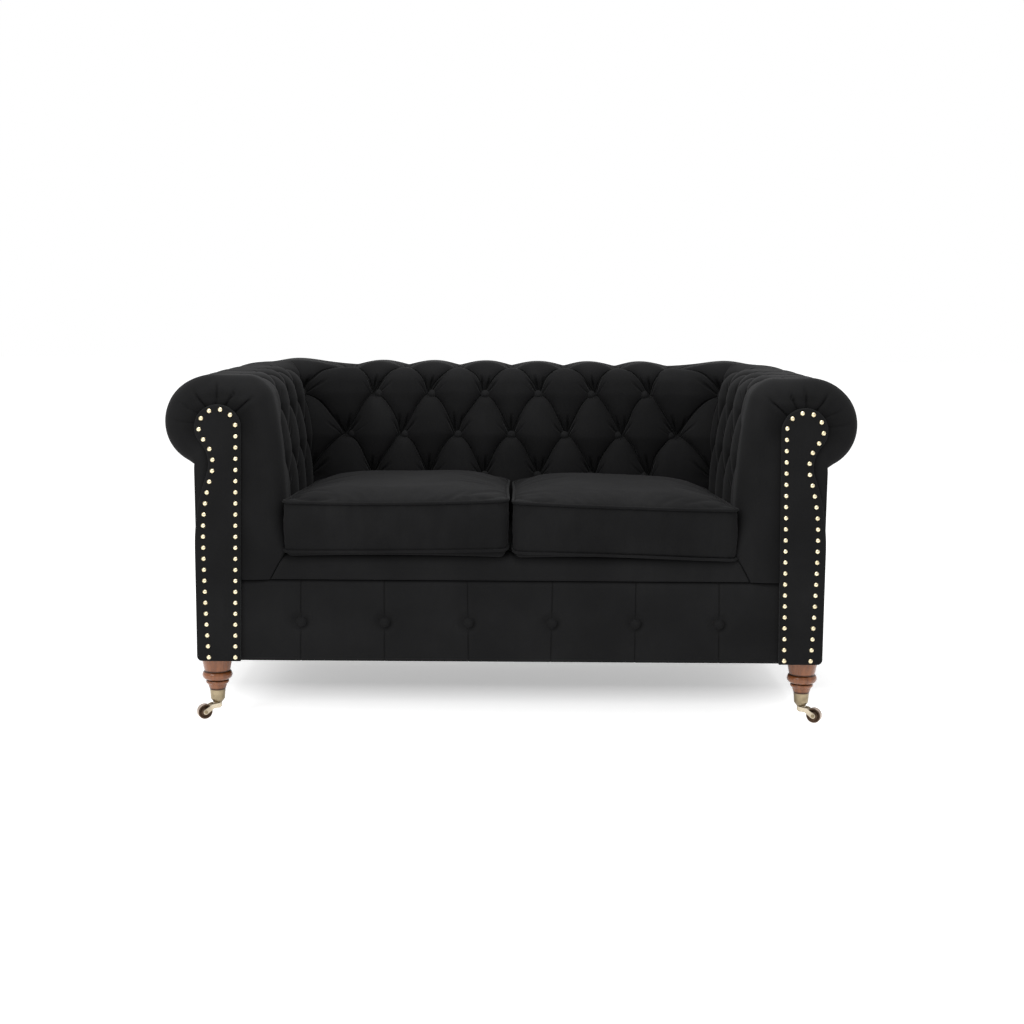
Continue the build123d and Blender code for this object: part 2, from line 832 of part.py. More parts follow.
def cushion_outline(inset):
    half = cushion_width / 2 - inset
    deep = cushion_depth / 2 - inset
    with BuildSketch() as outline:
        with BuildLine():
            ThreePointArc((-half, -deep), (0, cushion_draw - deep), (half, -deep))
            ThreePointArc((half, -deep), (half - cushion_draw, 0), (half, deep))
            ThreePointArc((half, deep), (0, deep - cushion_draw), (-half, deep))
            ThreePointArc((-half, deep), (cushion_draw - half, 0), (-half, -deep))
        make_face()
        fillet(outline.vertices(), cushion_corner)
    return outline.sketch


def cushion_level(level):
    return Plane(origin=(cushion_middle[0], cushion_middle[1], level))


def seam_tube(level, radius):
    """A closed round tube along one seam of the cushion."""
    with BuildSketch(cushion_level(level)) as seam_shape:
        add(cushion_outline(piping_radius))
    seam_line = seam_shape.sketch.face().outer_wire()
    with BuildPart() as tube:
        with BuildSketch(Plane(origin=seam_line @ 0, z_dir=seam_line % 0)):
            Circle(radius)
        sweep(path=seam_line)
    return tube.part


with BuildPart() as cushion_piping:
    add(seam_tube(low_seam, piping_radius))
    add(seam_tube(high_seam, piping_radius))
finish_pair(cushion_piping, "cushion_piping")

with BuildPart() as seat_cushion:
    for level, inset in crown_levels:
        with BuildSketch(cushion_level(level)):
            add(cushion_outline(inset))
    loft(ruled=True)
    add(seam_tube(low_seam, piping_radius + piping_gap), mode=Mode.SUBTRACT)
    add(seam_tube(high_seam, piping_radius + piping_gap), mode=Mode.SUBTRACT)
finish_pair(seat_cushion, "seat_cushion")

# Turned front legs
spigot_bottom = cup_bottom + cup_floor + pin_head_height + spigot_end_gap
with BuildPart() as front_leg:
    with BuildSketch(Plane.XZ):
        with BuildLine():
            Line((0, base_bottom), (leg_top_radius, base_bottom))
            Line((leg_top_radius, base_bottom), (leg_waist_radius, leg_waist_level))
            bulb = ThreePointArc(
                (leg_waist_radius, leg_waist_level),
                (leg_bulb_radius, leg_bulb_level),
                (leg_neck_radius, leg_neck_level),
            )
            ring = ThreePointArc(
                bulb @ 1,
                (leg_ring_radius, leg_ring_level),
                (leg_ankle_radius, leg_ankle_level),
            )
            spigot = cup_rim_radius - cup_wall - spigot_gap
            foot = cup_heel_radius - cup_wall - spigot_gap
            Polyline(
                ring @ 1,
                (cup_rim_radius, cup_top + spigot_gap),
                (spigot, cup_top + spigot_gap),
                (foot, spigot_bottom),
                (0, spigot_bottom),
                (0, base_bottom),
            )
        make_face()
    revolve(axis=Axis.Z)
    with Locations((0, 0, bolt_bottom - bolt_end_room)):
        Cylinder(bolt_radius + bolt_gap, base_bottom, align=floor_up, mode=Mode.SUBTRACT)

with BuildPart() as placed_front_leg:
    with Locations((-leg_x, leg_y, 0)):
        add(front_leg.part)
finish_pair(placed_front_leg, "front_leg")

# Plain rear legs with glides
with BuildPart() as rear_leg:
    with BuildSketch(Plane(origin=(-rear_leg_x, rear_leg_y, glide_thickness))):
        Rectangle(rear_leg_foot, rear_leg_foot)
    with BuildSketch(Plane(origin=(-rear_leg_x, rear_leg_y, base_bottom))):
        Rectangle(rear_leg_top, rear_leg_top)
    loft()
    with Locations((-rear_leg_x, rear_leg_y, glide_thickness)):
        Cylinder(
            glide_pin_radius + bolt_gap, glide_pin_length + bolt_gap, align=floor_up, mode=Mode.SUBTRACT
        )
    with Locations((-rear_leg_x, rear_leg_y, bolt_bottom - bolt_end_room)):
        Cylinder(bolt_radius + bolt_gap, base_bottom, align=floor_up, mode=Mode.SUBTRACT)
finish_pair(rear_leg, "rear_leg")

with BuildPart() as rear_glide:
    with Locations((-rear_leg_x, rear_leg_y, 0)):
        Cylinder(glide_radius, glide_thickness, align=floor_up)
    with Locations((-rear_leg_x, rear_leg_y, glide_thickness)):
        Cylinder(glide_pin_radius, glide_pin_length, align=floor_up)
finish_group(rear_glide, "rear_glides")

with BuildPart() as leg_bolts:
    with Locations(*[(x, y, bolt_bottom) for x, y in leg_places]):
        Cylinder(bolt_radius, bolt_length, align=floor_up)
finish(leg_bolts, "leg_bolts")

# Castor cup and king pin on the leg, fork and axle below them, wheel on the axle
castor_plane = Plane(
    origin=(-leg_x, leg_y, 0),
    x_dir=(-math.cos(math.radians(fork_turn)), -math.sin(math.radians(fork_turn)), 0),
    z_dir=(0, 0, 1),
)
castor_side = Plane(origin=castor_plane.origin, x_dir=castor_plane.x_dir, z_dir=-castor_plane.y_dir)
cup_inner_floor = cup_bottom + cup_floor
fork_top = cup_bottom - swivel_gap
fork_bottom = fork_top - fork_boss_height
with BuildPart() as castor_cup:
    with BuildSketch(castor_side):
        Polygon(
            (pin_radius, cup_bottom),
            (cup_sole_radius, cup_bottom),
            (cup_heel_radius, cup_heel_level),
            (cup_rim_radius, cup_top),
            (cup_rim_radius - cup_wall, cup_top),
            (cup_heel_radius - cup_wall, cup_heel_level),
            (cup_heel_radius - cup_wall, cup_inner_floor),
            (pin_radius, cup_inner_floor),
            align=None,
        )
    revolve(axis=Axis((-leg_x, leg_y, 0), (0, 0, 1)))
finish_pair(castor_cup, "castor_cup")

with BuildPart() as castor_pin:
    with Locations((-leg_x, leg_y, fork_bottom - swivel_gap)):
        Cylinder(pin_radius, cup_inner_floor - fork_bottom + swivel_gap, align=floor_up)
    with Locations((-leg_x, leg_y, fork_bottom - swivel_gap - pin_head_height)):
        Cylinder(pin_head_radius, pin_head_height, align=floor_up)
    with Locations((-leg_x, leg_y, cup_inner_floor)):
        Cylinder(pin_head_radius, pin_head_height, align=floor_up)
finish_group(castor_pin, "castor_pins")

fork_half = wheel_width / 2 + wheel_side_gap + fork_arm_thickness
knee = (fork_knee_place, fork_top - fork_arm_radius - fork_knee_drop)
with BuildPart() as castor_fork:
    with BuildSketch(castor_side):
        with Locations((0, fork_top - fork_arm_radius)):
            Circle(fork_arm_radius)
        with Locations(knee):
            Circle(fork_arm_radius)
        make_hull()
    extrude(amount=fork_half, both=True)
    with BuildSketch(castor_side):
        with Locations(knee):
            Circle(fork_arm_radius)
        with Locations((fork_trail, wheel_radius)):
            Circle(fork_eye_radius)
        make_hull()
    extrude(amount=fork_half, both=True)
    with BuildSketch(castor_side):
        with Locations((fork_throat, 0)):
            Rectangle(2 * fork_trail, 4 * wheel_radius, align=(Align.MIN, Align.MIN))
    extrude(amount=wheel_width / 2 + wheel_side_gap, both=True, mode=Mode.SUBTRACT)
    with Locations((-leg_x, leg_y, fork_bottom)):
        Cylinder(fork_boss_radius, fork_boss_height, align=floor_up)
        Cylinder(pin_radius + pin_gap, fork_boss_height, align=floor_up, mode=Mode.SUBTRACT)
    with Locations((-leg_x, leg_y, fork_bottom - fork_boss_height)):
        Cylinder(fork_boss_radius, fork_boss_height, align=floor_up, mode=Mode.SUBTRACT)
    with BuildSketch(castor_side):
        with Locations((fork_trail, wheel_radius)):
            Circle(axle_radius)
    extrude(amount=fork_half, both=True, mode=Mode.SUBTRACT)
finish_pair(castor_fork, "castor_fork")

with BuildPart() as castor_axle:
    with BuildSketch(castor_side):
        with Locations((fork_trail, wheel_radius)):
            Circle(axle_radius)
    extrude(amount=fork_half, both=True)
    for way in (-1, 1):
        with BuildSketch(castor_side.offset(way * fork_half)):
            with Locations((fork_trail, wheel_radius)):
                Circle(axle_head_radius)
        extrude(amount=way * axle_head_height)
finish_pair(castor_axle, "castor_axle")

with BuildPart() as castor_wheel:
    with BuildSketch(castor_side):
        with Locations((fork_trail, wheel_radius)):
            Circle(wheel_radius)
    extrude(amount=wheel_width / 2, both=True)
    fillet(castor_wheel.edges().filter_by(GeomType.CIRCLE), wheel_round)
    for way in (-1, 1):
        with BuildSketch(castor_side.offset(way * wheel_width / 2)):
            with Locations((fork_trail, wheel_radius)):
                Circle(wheel_dish_radius)
                Circle(wheel_hub_radius, mode=Mode.SUBTRACT)
        extrude(amount=-way * wheel_dish_depth, mode=Mode.SUBTRACT)
    with BuildSketch(castor_side):
        with Locations((fork_trail, wheel_radius)):
            Circle(axle_radius + axle_gap)
    extrude(amount=wheel_width / 2, both=True, mode=Mode.SUBTRACT)
finish_pair(castor_wheel, "castor_wheel")

os.makedirs("parts", exist_ok=True)
for builder in finished:
    export_step(builder.part, "parts/" + builder.part.label + ".step")
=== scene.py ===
import math

import bmesh
import bpy
from mathutils import Matrix, Vector, noise


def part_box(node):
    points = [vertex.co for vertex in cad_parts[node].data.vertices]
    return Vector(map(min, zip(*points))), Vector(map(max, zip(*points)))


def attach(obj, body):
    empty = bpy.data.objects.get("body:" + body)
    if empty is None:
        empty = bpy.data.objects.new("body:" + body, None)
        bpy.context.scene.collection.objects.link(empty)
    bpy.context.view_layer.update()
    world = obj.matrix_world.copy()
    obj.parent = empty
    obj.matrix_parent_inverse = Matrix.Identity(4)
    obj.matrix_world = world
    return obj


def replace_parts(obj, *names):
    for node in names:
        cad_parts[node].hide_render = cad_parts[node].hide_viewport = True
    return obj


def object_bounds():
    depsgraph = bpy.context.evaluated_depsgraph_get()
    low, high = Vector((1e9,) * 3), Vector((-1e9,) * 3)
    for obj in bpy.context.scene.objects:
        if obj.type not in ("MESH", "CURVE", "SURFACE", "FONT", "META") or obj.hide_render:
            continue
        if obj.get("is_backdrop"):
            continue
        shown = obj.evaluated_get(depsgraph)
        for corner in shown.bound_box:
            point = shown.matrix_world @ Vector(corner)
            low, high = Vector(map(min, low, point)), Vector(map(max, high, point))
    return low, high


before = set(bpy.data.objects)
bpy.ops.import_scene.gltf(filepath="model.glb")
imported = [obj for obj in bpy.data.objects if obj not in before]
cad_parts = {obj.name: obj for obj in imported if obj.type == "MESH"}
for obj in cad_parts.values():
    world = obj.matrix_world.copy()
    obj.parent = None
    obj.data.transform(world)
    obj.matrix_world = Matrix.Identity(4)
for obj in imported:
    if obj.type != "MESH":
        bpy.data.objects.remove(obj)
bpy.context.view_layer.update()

# Sizes of the sofa in metres: x across, y from front to back, z up
sides = {-1: "left", 1: "right"}
roll_x, roll_y, roll_z = 0.676, 0.321, 0.700
roll_radius = 0.104
inner_reach = 0.164
deck_top = 0.395
lean_start = 0.470
lean_radius = 1.540
shoulder_radius = 0.063
crest = 0.804
panel_in, panel_out = 0.0322, 0.038
hollow_radius = 0.066
hollow_face = 0.100
pad_bottom = 0.350
border_top = 0.334
base_bottom = 0.145
border_front = -0.407
facing_front = -0.421
frame_front = -0.377
lip_back = -0.372
frame_back = 0.353
panel_back = 0.359
seat_half = 0.5114
seat_back = 0.1564
panel_top = 0.640
soft_uneven = 0.0012

# Deep buttoning
tuft_pitch = 0.1384
arm_last_tuft = 0.1202
crease_depth = 0.018
button_dip = 0.006
button_spread = 0.020
gather_above, gather_below = 0.034, 0.012
row_pitch = 0.107
row_levels = (0.510, 0.617, 0.724)
crest_row_turn = math.radians(10)
arch_power = 0.62

# Settling of the rolls
arm_sink = 0.0085
arm_spread = 0.0035
corner_rise = 0.008
corner_sink = 0.006
corner_round = 0.11
corner_x = 0.55

# Facing of each arm, measured outwards from the middle of the roll and up
head = (-0.019, 0.680)
head_radius = 0.052
neck = (0.073, 0.59988)
neck_radius = 0.070
flank = (-0.463, 0.40596)
flank_radius = 0.500
facing_out = 0.037
base_corner = 0.012
facing_slant = math.radians(1)
facing_top = head[1] - head_radius * math.sin(facing_slant)
head_turn = math.atan2(neck[1] - head[1], neck[0] - head[0])
flank_turn = math.atan2(neck[1] - flank[1], neck[0] - flank[0])

# Rounded front of each arm, gathered round the head of its facing
front_rounds = 8
front_bands = 16
front_tuck = 0.006
scroll_pleats = [math.radians(turn) for turn in (12, 37, 62, 87, 111, 139)]
scroll_pleat_width, scroll_pleat_depth = 0.0022, 0.0042

# Front border
border_half = 0.7138
border_pitch = 0.1906
border_columns = [(index - 2.5) * border_pitch for index in range(6)]
border_level = 0.236
border_pleat_width, border_pleat_depth = 0.0015, 0.0020
border_hollow = 0.0064

# Seat cushions
low_seam, high_seam = 0.409, 0.511
cushion_bottom = 0.3956
cushion_front, cushion_back = -0.4194, 0.1556
cushion_inner, cushion_outer = 0.0010, 0.5108
cushion_middle = ((cushion_inner + cushion_outer) / 2, (cushion_front + cushion_back) / 2)
cushion_corner = 0.024
cushion_draw = 0.003
cushion_crown = 0.031
cushion_limit = 0.042
seam_levels = {-1: (0.009, 0.0, 0.002), 1: (0.004, -0.006, -0.011)}
cushion_droop = {-1: 0.010, 1: 0.011}
cushion_back_fall = 0.022
lip_round = 0.030
piping_radius = 0.0035
seam_inset = piping_radius + 0.0015

# Places along the face line of the pads, measured from the deck upwards
lean_centre = (lean_radius - inner_reach, lean_start)
shoulder_z = crest - shoulder_radius
shoulder_x = lean_centre[0] - math.sqrt(
    (lean_radius - shoulder_radius) ** 2 - (shoulder_z - lean_start) ** 2
)
lean_turn = math.atan2(shoulder_z - lean_start, lean_centre[0] - shoulder_x)
roll_turn = math.pi / 2 + math.acos(panel_out / roll_radius)
upright = lean_start - deck_top
to_shoulder = upright + lean_radius * lean_turn
to_crest = to_shoulder + shoulder_radius * (math.pi / 2 - lean_turn)
to_roll = to_crest - shoulder_x
face_end = to_roll + roll_radius * roll_turn
roll_end_up = roll_z - math.sqrt(roll_radius**2 - panel_out**2)
row_places = [upright + lean_radius * math.asin((z - lean_start) / lean_radius) for z in row_levels]
row_places.append(to_crest - shoulder_radius * crest_row_turn)


def ease(low, high, value):
    """0 below low, 1 above high, smooth between."""
    share = min(max((value - low) / (high - low), 0.0), 1.0)
    return share * share * (3 - 2 * share)


def hill(distance, width):
    """1 at no distance, falling off smoothly over a width."""
    return math.exp(-((distance / width) ** 2))


def rough(point, scale, seed):
    return noise.noise(Vector(point) * scale + Vector((seed * 7.3, seed * 3.1, seed * 5.7)))


# Finishes
def link(value, socket):
    socket.id_data.links.new(getattr(value, "socket", value), socket)


def add_node(tree, kind, inputs=None, **settings):
    """A new shader node with its sockets set or linked; nodes stand in rows in the order they come."""
    node = tree.nodes.new("ShaderNode" + kind)
    row, column = divmod(len(tree.nodes), 9)
    node.location = (220 * column - 2000, -280 * row)
    for label, value in settings.items():
        setattr(node, label, value)
    for label, value in (inputs or {}).items():
        socket = node.inputs[label]
        if isinstance(value, Value):
            link(value, socket)
        elif socket.type == "RGBA" and len(value) == 3:
            socket.default_value = (*value, 1)
        else:
            socket.default_value = value
    return node


class Value:
    """What a shader socket puts out, to be reckoned with like a number."""

    def __init__(self, socket):
        self.socket, self.tree = socket, socket.id_data

    def calc(self, operation, other=0.0):
        return Value(add_node(self.tree, "Math", {0: self, 1: other}, operation=operation).outputs["Value"])

    def __add__(self, other):
        return self.calc("ADD", other)

    def __sub__(self, other):
        return self.calc("SUBTRACT", other)

    def __mul__(self, other):
        return self.calc("MULTIPLY", other)

    def remap(self, low, high, to_low=0.0, to_high=1.0):
        ends = {"From Min": low, "From Max": high, "To Min": to_low, "To Max": to_high}
        return Value(add_node(self.tree, "MapRange", {"Value": self, **ends}).outputs["Result"])

    def stretched(self, scale):
        return Value(add_node(self.tree, "Mapping", {"Vector": self, "Scale": scale}).outputs["Vector"])

    def noise(self, scale, detail, stretch=(1, 1, 1)):
        place = {"Vector": self.stretched(stretch), "Scale": scale, "Detail": detail}
        return Value(add_node(self.tree, "TexNoise", place).outputs["Fac"])

    def parts(self):
        return [Value(part) for part in add_node(self.tree, "SeparateXYZ", {"Vector": self}).outputs]


def mix_colours(blend, factor, first, second):
    colours = {0: factor, 6: first, 7: second}
    return Value(add_node(second.tree, "Mix", colours, data_type="RGBA", blend_type=blend).outputs[2])


def object_place(tree):
    return Value(add_node(tree, "TexCoord").outputs["Object"])


def effect_group(name, inputs, outputs=("Color", "Roughness", "Height")):
    """An empty shader group with named sockets; the inputs are given with their kinds."""
    tree = bpy.data.node_groups.new(name, "ShaderNodeTree")
    for label, kind in inputs.items():
        tree.interface.new_socket(label, in_out="INPUT", socket_type="NodeSocket" + kind)
    for label in outputs:
        kind = "Color" if label == "Color" else "Float"
        tree.interface.new_socket(label, in_out="OUTPUT", socket_type="NodeSocket" + kind)
    start = tree.nodes.new("NodeGroupInput")
    start.location = (-2300, 0)
    return tree, [Value(start.outputs[label]) for label in inputs]


def put_out(tree, *results):
    """Link the results of a group to its outputs in order."""
    end = tree.nodes.new("NodeGroupOutput")
    for value, socket in zip(results, end.inputs):
        link(value, socket)
    return tree


def make_pile_group():
    """Cut pile: brushed patches, fine fibres, and painted shade that darkens the folds."""
    kinds = {"Coordinates": "Vector", "Shade": "Color", "Brushed": "Color", "Fold Shade": "Float"}
    tree, (place, shade, brushed, fold_shade) = effect_group("pile", kinds)
    patches = place.noise(7.0, 4.0)
    streaks = place.noise(60.0, 3.0, (1.0, 1.0, 0.25))
    fibres = place.noise(1400.0, 2.0)
    colour = mix_colours("MIX", patches.remap(0.38, 0.66) * streaks * 0.5, shade, brushed)
    # The fibres vary the colour; the second factor is painted shade, darkening the folds down to 0.14.
    for light in (fibres.remap(0.3, 0.7, 0.8, 1.2), fold_shade.remap(0.0, 1.0, 1.0, 0.14)):
        colour = mix_colours("MULTIPLY", 1.0, colour, light)
    return put_out(tree, colour, patches.remap(0.3, 0.7, 0.92, 0.8), fibres)


def make_wear_group():
    """Handling wear on hard pieces: cloudy tarnish and fine scratches."""
    kinds = {"Coordinates": "Vector", "Clean": "Color", "Tarnish": "Color"}
    kinds |= {"Amount": "Float", "Smooth": "Float", "Dull": "Float"}
    tree, (place, clean, tarnished, amount, smooth, dull) = effect_group("wear", kinds)
    tarnish = place.noise(45.0, 5.0).remap(0.4, 0.7)
    scratches = place.noise(260.0, 3.0, (0.15, 1.0, 1.0))
    colour = mix_colours("MIX", tarnish * amount, clean, tarnished)
    return put_out(tree, colour, smooth + (dull - smooth) * tarnish, scratches)


def make_weave_group():
    """Plain weave of warp and weft threads, with slubs."""
    kinds = {"Coordinates": "Vector", "Thread": "Color", "Shadow": "Color", "Count": "Float"}
    tree, (place, thread, shadow, count) = effect_group("weave", kinds)
    waves = {"Vector": place, "Scale": count, "Distortion": 0.6}
    warp, weft = (add_node(tree, "TexWave", waves, bands_direction=axis) for axis in "XY")
    weave = Value(warp.outputs["Fac"]) * Value(weft.outputs["Fac"])
    slubs = place.noise(90.0, 3.0)
    colour = mix_colours("MIX", (weave * slubs).remap(0.02, 0.4), shadow, thread)
    return put_out(tree, colour, slubs.remap(0.3, 0.7, 0.95, 0.8), weave)


def make_buttoning_group():
    """Painted shade along crisp creases from button to button and in the short gathers above each button; the
    same values give the bump.
    """
    tree, (place,) = effect_group("buttoning", {"Place": "Vector"}, ("Fold Shade", "Height"))
    column, row, strength = place.parts()

    def both_lines(level):
        """The two slanting lattice lines through a place, and their nearest whole numbers."""
        half = (level - 1.0) * 0.5
        lines = (column + half, column - half)
        nearest = [line.calc("ROUND") for line in lines]
        return [line - near for line, near in zip(lines, nearest)], nearest

    (first, second), (near_first, near_second) = both_lines(row)
    across, along = (first + second) * (tuft_pitch / 2), (first - second) * row_pitch
    turn = across.calc("ARCTAN2", along + 0.012)
    distance = (across * across + along * along).calc("SQRT")
    ray = (turn * 17.0 + (near_first * 1.7 + near_second * 2.9)).calc("COSINE").remap(0.1, 1.0)
    opened, closed = distance.remap(0.005, 0.011), distance.remap(0.032, 0.058, 1.0, 0.0)
    gathers = ray * opened * closed * turn.calc("ABSOLUTE").remap(0.4, 0.85, 1.0, 0.0)

    level = row.calc("MAXIMUM", 0.0).calc("MINIMUM", 3.0)
    arch = (level.calc("FRACT") * -1.0 + 1.0).calc("POWER", arch_power)
    lines, _ = both_lines(level.calc("FLOOR") + 1.0 - arch)
    first, second = [line.calc("ABSOLUTE") for line in lines]
    crease = first.calc("MINIMUM", second).remap(0.004, 0.022, 1.0, 0.0)
    crease *= row.remap(3.1, 3.45, 1.0, 0.35) * 0.75
    # Painted shade of the creases and gathers; one minus it is the bump height.
    fold_shade = gathers.calc("MAXIMUM", crease) * strength
    return put_out(tree, fold_shade, fold_shade * -1.0 + 1.0)


pile_group = make_pile_group()
buttoning_group = make_buttoning_group()
wear_group = make_wear_group()
weave_group = make_weave_group()


def relief(tree, height, strength, distance, **over):
    heights = {"Height": height, "Strength": strength, "Distance": distance, **over}
    return Value(add_node(tree, "Bump", heights).outputs["Normal"])


def new_material(name, shader):
    """A material with its node tree and the sockets of its surface, some of them set."""
    material = bpy.data.materials.new(name)
    material.use_nodes = True
    surface = material.node_tree.nodes["Principled BSDF"].inputs
    for label, value in shader.items():
        surface[label].default_value = value
    return material, material.node_tree, surface


def finish_material(name, effect, values, bump, shader, stretch=None):
    """A material whose colour, roughness and bump come from one effect group."""
    material, tree, surface = new_material(name, shader)
    place = object_place(tree)
    values = {"Coordinates": place.stretched(stretch) if stretch else place, **values}
    group = add_node(tree, "Group", values, node_tree=effect)
    normal = relief(tree, Value(group.outputs["Height"]), *bump)
    link(group.outputs["Color"], surface["Base Color"])
    link(group.outputs["Roughness"], surface["Roughness"])
    link(normal, surface["Normal"])
    return material, tree, surface, group, normal


velvet_sheen = {
    "Sheen Weight": 0.035,
    "Sheen Roughness": 0.4,
    "Sheen Tint": (0.8, 0.8, 0.82, 1),
    "Specular IOR Level": 0.08,
}


def velvet_finish(name, shade, brushed, shaded_folds=False, tufts=False):
    """Black cut pile; shaded folds take painted shade from a mesh attribute, and tufts add painted shade with
    bump along the creases and gathers of buttoning.
    """
    shades = {"Shade": shade, "Brushed": brushed}
    finish = finish_material(name, pile_group, shades, (0.25, 0.0006), velvet_sheen)
    material, tree, surface, group, normal = finish
    if shaded_folds:
        # Painted shade stored on the mesh, darkest in creases, pleats, seams and round the buttons.
        depth = Value(add_node(tree, "Attribute", attribute_name="fold_shade").outputs["Fac"])
        if tufts:
            place = Value(add_node(tree, "Attribute", attribute_name="tuft").outputs["Vector"])
            drawn = add_node(tree, "Group", node_tree=buttoning_group)
            link(place, drawn.inputs["Place"])
            depth = depth.calc("MAXIMUM", Value(drawn.outputs["Fold Shade"]))
            link(relief(tree, Value(drawn.outputs["Height"]), 0.9, 0.006, Normal=normal), surface["Normal"])
        link(depth, group.inputs["Fold Shade"])
    return material


def metal_finish(name, clean, tarnish, amount, smooth, dull, metallic=1.0):
    values = {"Clean": clean, "Tarnish": tarnish, "Amount": amount, "Smooth": smooth, "Dull": dull}
    return finish_material(name, wear_group, values, (0.06, 0.0003), {"Metallic": metallic})[0]


def wood_finish(name, light, dark, smooth, dull, grain_stretch):
    """Grain along the piece, under a thin polish."""
    values = {"Clean": light, "Tarnish": dark, "Amount": 0.75, "Smooth": smooth, "Dull": dull}
    return finish_material(name, wear_group, values, (0.08, 0.0004), {}, grain_stretch)[0]


def cloth_finish(name, thread, shadow, count):
    values = {"Thread": thread, "Shadow": shadow, "Count": count}
    return finish_material(name, weave_group, values, (0.4, 0.0005), {"Specular IOR Level": 0.2})[0]


black, brushed_black = (0.008, 0.008, 0.0083), (0.0145, 0.0145, 0.015)
tufted_velvet = velvet_finish("tufted_velvet", (0.0075, 0.0075, 0.0078), (0.014, 0.014, 0.0145), True, True)
pleated_velvet = velvet_finish("pleated_velvet", black, brushed_black, True)
plain_velvet = velvet_finish("plain_velvet", black, brushed_black)
cushion_velvet = velvet_finish("cushion_velvet", (0.0072, 0.0072, 0.0075), (0.0136, 0.0136, 0.014), True)
polish = ((0.26, 0.09, 0.032), (0.12, 0.039, 0.014), 0.2, 0.34, (3.0, 3.0, 0.35))
leg_polish = wood_finish("leg_polish", *polish)
turned_polish = wood_finish("turned_polish", *polish)
frame_wood = wood_finish("frame_wood", (0.55, 0.38, 0.22), (0.38, 0.24, 0.12), 0.6, 0.8, (2.0, 0.4, 0.6))
nail_brass = metal_finish("nail_brass", (0.72, 0.64, 0.45), (0.46, 0.36, 0.19), 0.45, 0.2, 0.36)
castor_brass = metal_finish("castor_brass", (0.29, 0.235, 0.15), (0.12, 0.095, 0.06), 0.6, 0.26, 0.45)
fork_brass = metal_finish("fork_brass", (0.5, 0.435, 0.33), (0.28, 0.235, 0.17), 0.5, 0.26, 0.45)
tread_brass = metal_finish("tread_brass", (0.48, 0.395, 0.335), (0.29, 0.235, 0.2), 0.5, 0.3, 0.5)
wheel_dark = metal_finish("wheel_dark", (0.07, 0.045, 0.03), (0.03, 0.02, 0.015), 0.6, 0.35, 0.55)
spring_steel = metal_finish("spring_steel", (0.45, 0.45, 0.47), (0.2, 0.19, 0.19), 0.4, 0.3, 0.5)
jute_webbing = cloth_finish("jute_webbing", (0.34, 0.27, 0.17), (0.12, 0.09, 0.05), 260.0)
deck_cloth = cloth_finish("deck_cloth", (0.03, 0.03, 0.03), (0.012, 0.012, 0.012), 400.0)
dust_cloth = cloth_finish("dust_cloth", (0.035, 0.035, 0.036), (0.014, 0.014, 0.014), 500.0)
glide_plastic = metal_finish("glide_plastic", (0.05, 0.05, 0.05), (0.03, 0.03, 0.03), 0.5, 0.4, 0.6, 0.0)


def shade_grooves(material, levels):
    """Painted shade in the turned grooves and where the leg meets the sofa and its castor cup, at the given
    heights; the polish is also thin there.
    """
    tree = material.node_tree
    surface = tree.nodes["Principled BSDF"].inputs
    height = object_place(tree).parts()[2]
    grooves = [(height - level).calc("ABSOLUTE").remap(0.0008, 0.0034, 0.2, 1.0) for level in levels]
    clean = grooves[0]
    for groove in grooves[1:]:
        clean = clean.calc("MINIMUM", groove)
    wood_colour = Value(surface["Base Color"].links[0].from_socket)
    # Painted shade: the wood colour is darkened to 0.2 of itself in each groove.
    link(mix_colours("MULTIPLY", 1.0, wood_colour, clean), surface["Base Color"])
    link(clean.remap(0.4, 1.0, 0.0, 0.4), surface["Coat Weight"])
    surface["Coat Roughness"].default_value = 0.12
    surface["Specular IOR Level"].default_value = 0.25


shade_grooves(turned_polish, (0.1445, 0.112, 0.091, 0.069))


# Making and placing pieces
def put_in_scene(name, data):
    thing = bpy.data.objects.new(name, data)
    bpy.context.scene.collection.objects.link(thing)
    return thing


def make_piece(name, bm, *materials, body="sofa", slot="velvet"):
    """Turn a finished bmesh into a piece that rides on a body."""
    mesh = bpy.data.meshes.new(name)
    bmesh.ops.recalc_face_normals(bm, faces=bm.faces[:])
    bm.to_mesh(mesh)
    bm.free()
    for material in materials:
        mesh.materials.append(material)
    mesh.shade_smooth()
    piece = put_in_scene(name, mesh)
    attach(piece, body)
    return piece


def pad_for(node, piece):
    """Hide the node that a piece stands in for."""
    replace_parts(piece, node)


def points_in(geometry):
    return [part for part in geometry if isinstance(part, bmesh.types.BMVert)]


def straight(bm, start, end, cuts):
    """Draw a straight line on from a point and return its last point."""
    tip, origin = start, start.co.copy()
    for step in range(1, cuts + 2):
        tip = bmesh.ops.extrude_vert_indiv(bm, verts=[tip])["verts"][0]
        tip.co = origin.lerp(Vector(end), step / (cuts + 1))
    return tip


def curve(bm, start, centre, turn, steps):
    """Draw an arc on from a point, turning about y, and return its last point."""
    drawn = bmesh.ops.spin(
        bm, geom=[start], cent=(centre[0], 0, centre[1]), axis=(0, 1, 0), angle=turn, steps=steps
    )
    return points_in(drawn["geom_last"])[0]


def walk(start):
    """Points of an open line in order."""
    line = [start]
    while True:
        ahead = [e.other_vert(line[-1]) for e in line[-1].link_edges]
        ahead = [v for v in ahead if len(line) < 2 or v is not line[-2]]
        if not ahead:
            return line
        line.append(ahead[0])


def sweep(bm, steps):
    """Carry everything drawn so far one metre along y."""
    drawn = bm.verts[:] + bm.edges[:]
    step = (0, 1 / steps, 0)
    bmesh.ops.spin(bm, geom=drawn, cent=(0, 0, 0), axis=(0, 1, 0), dvec=step, angle=0, steps=steps)


def fill(bm, edges):
    bmesh.ops.contextual_create(bm, geom=list(edges))


def open_edges(bm):
    return [e for e in bm.edges if e.is_boundary]


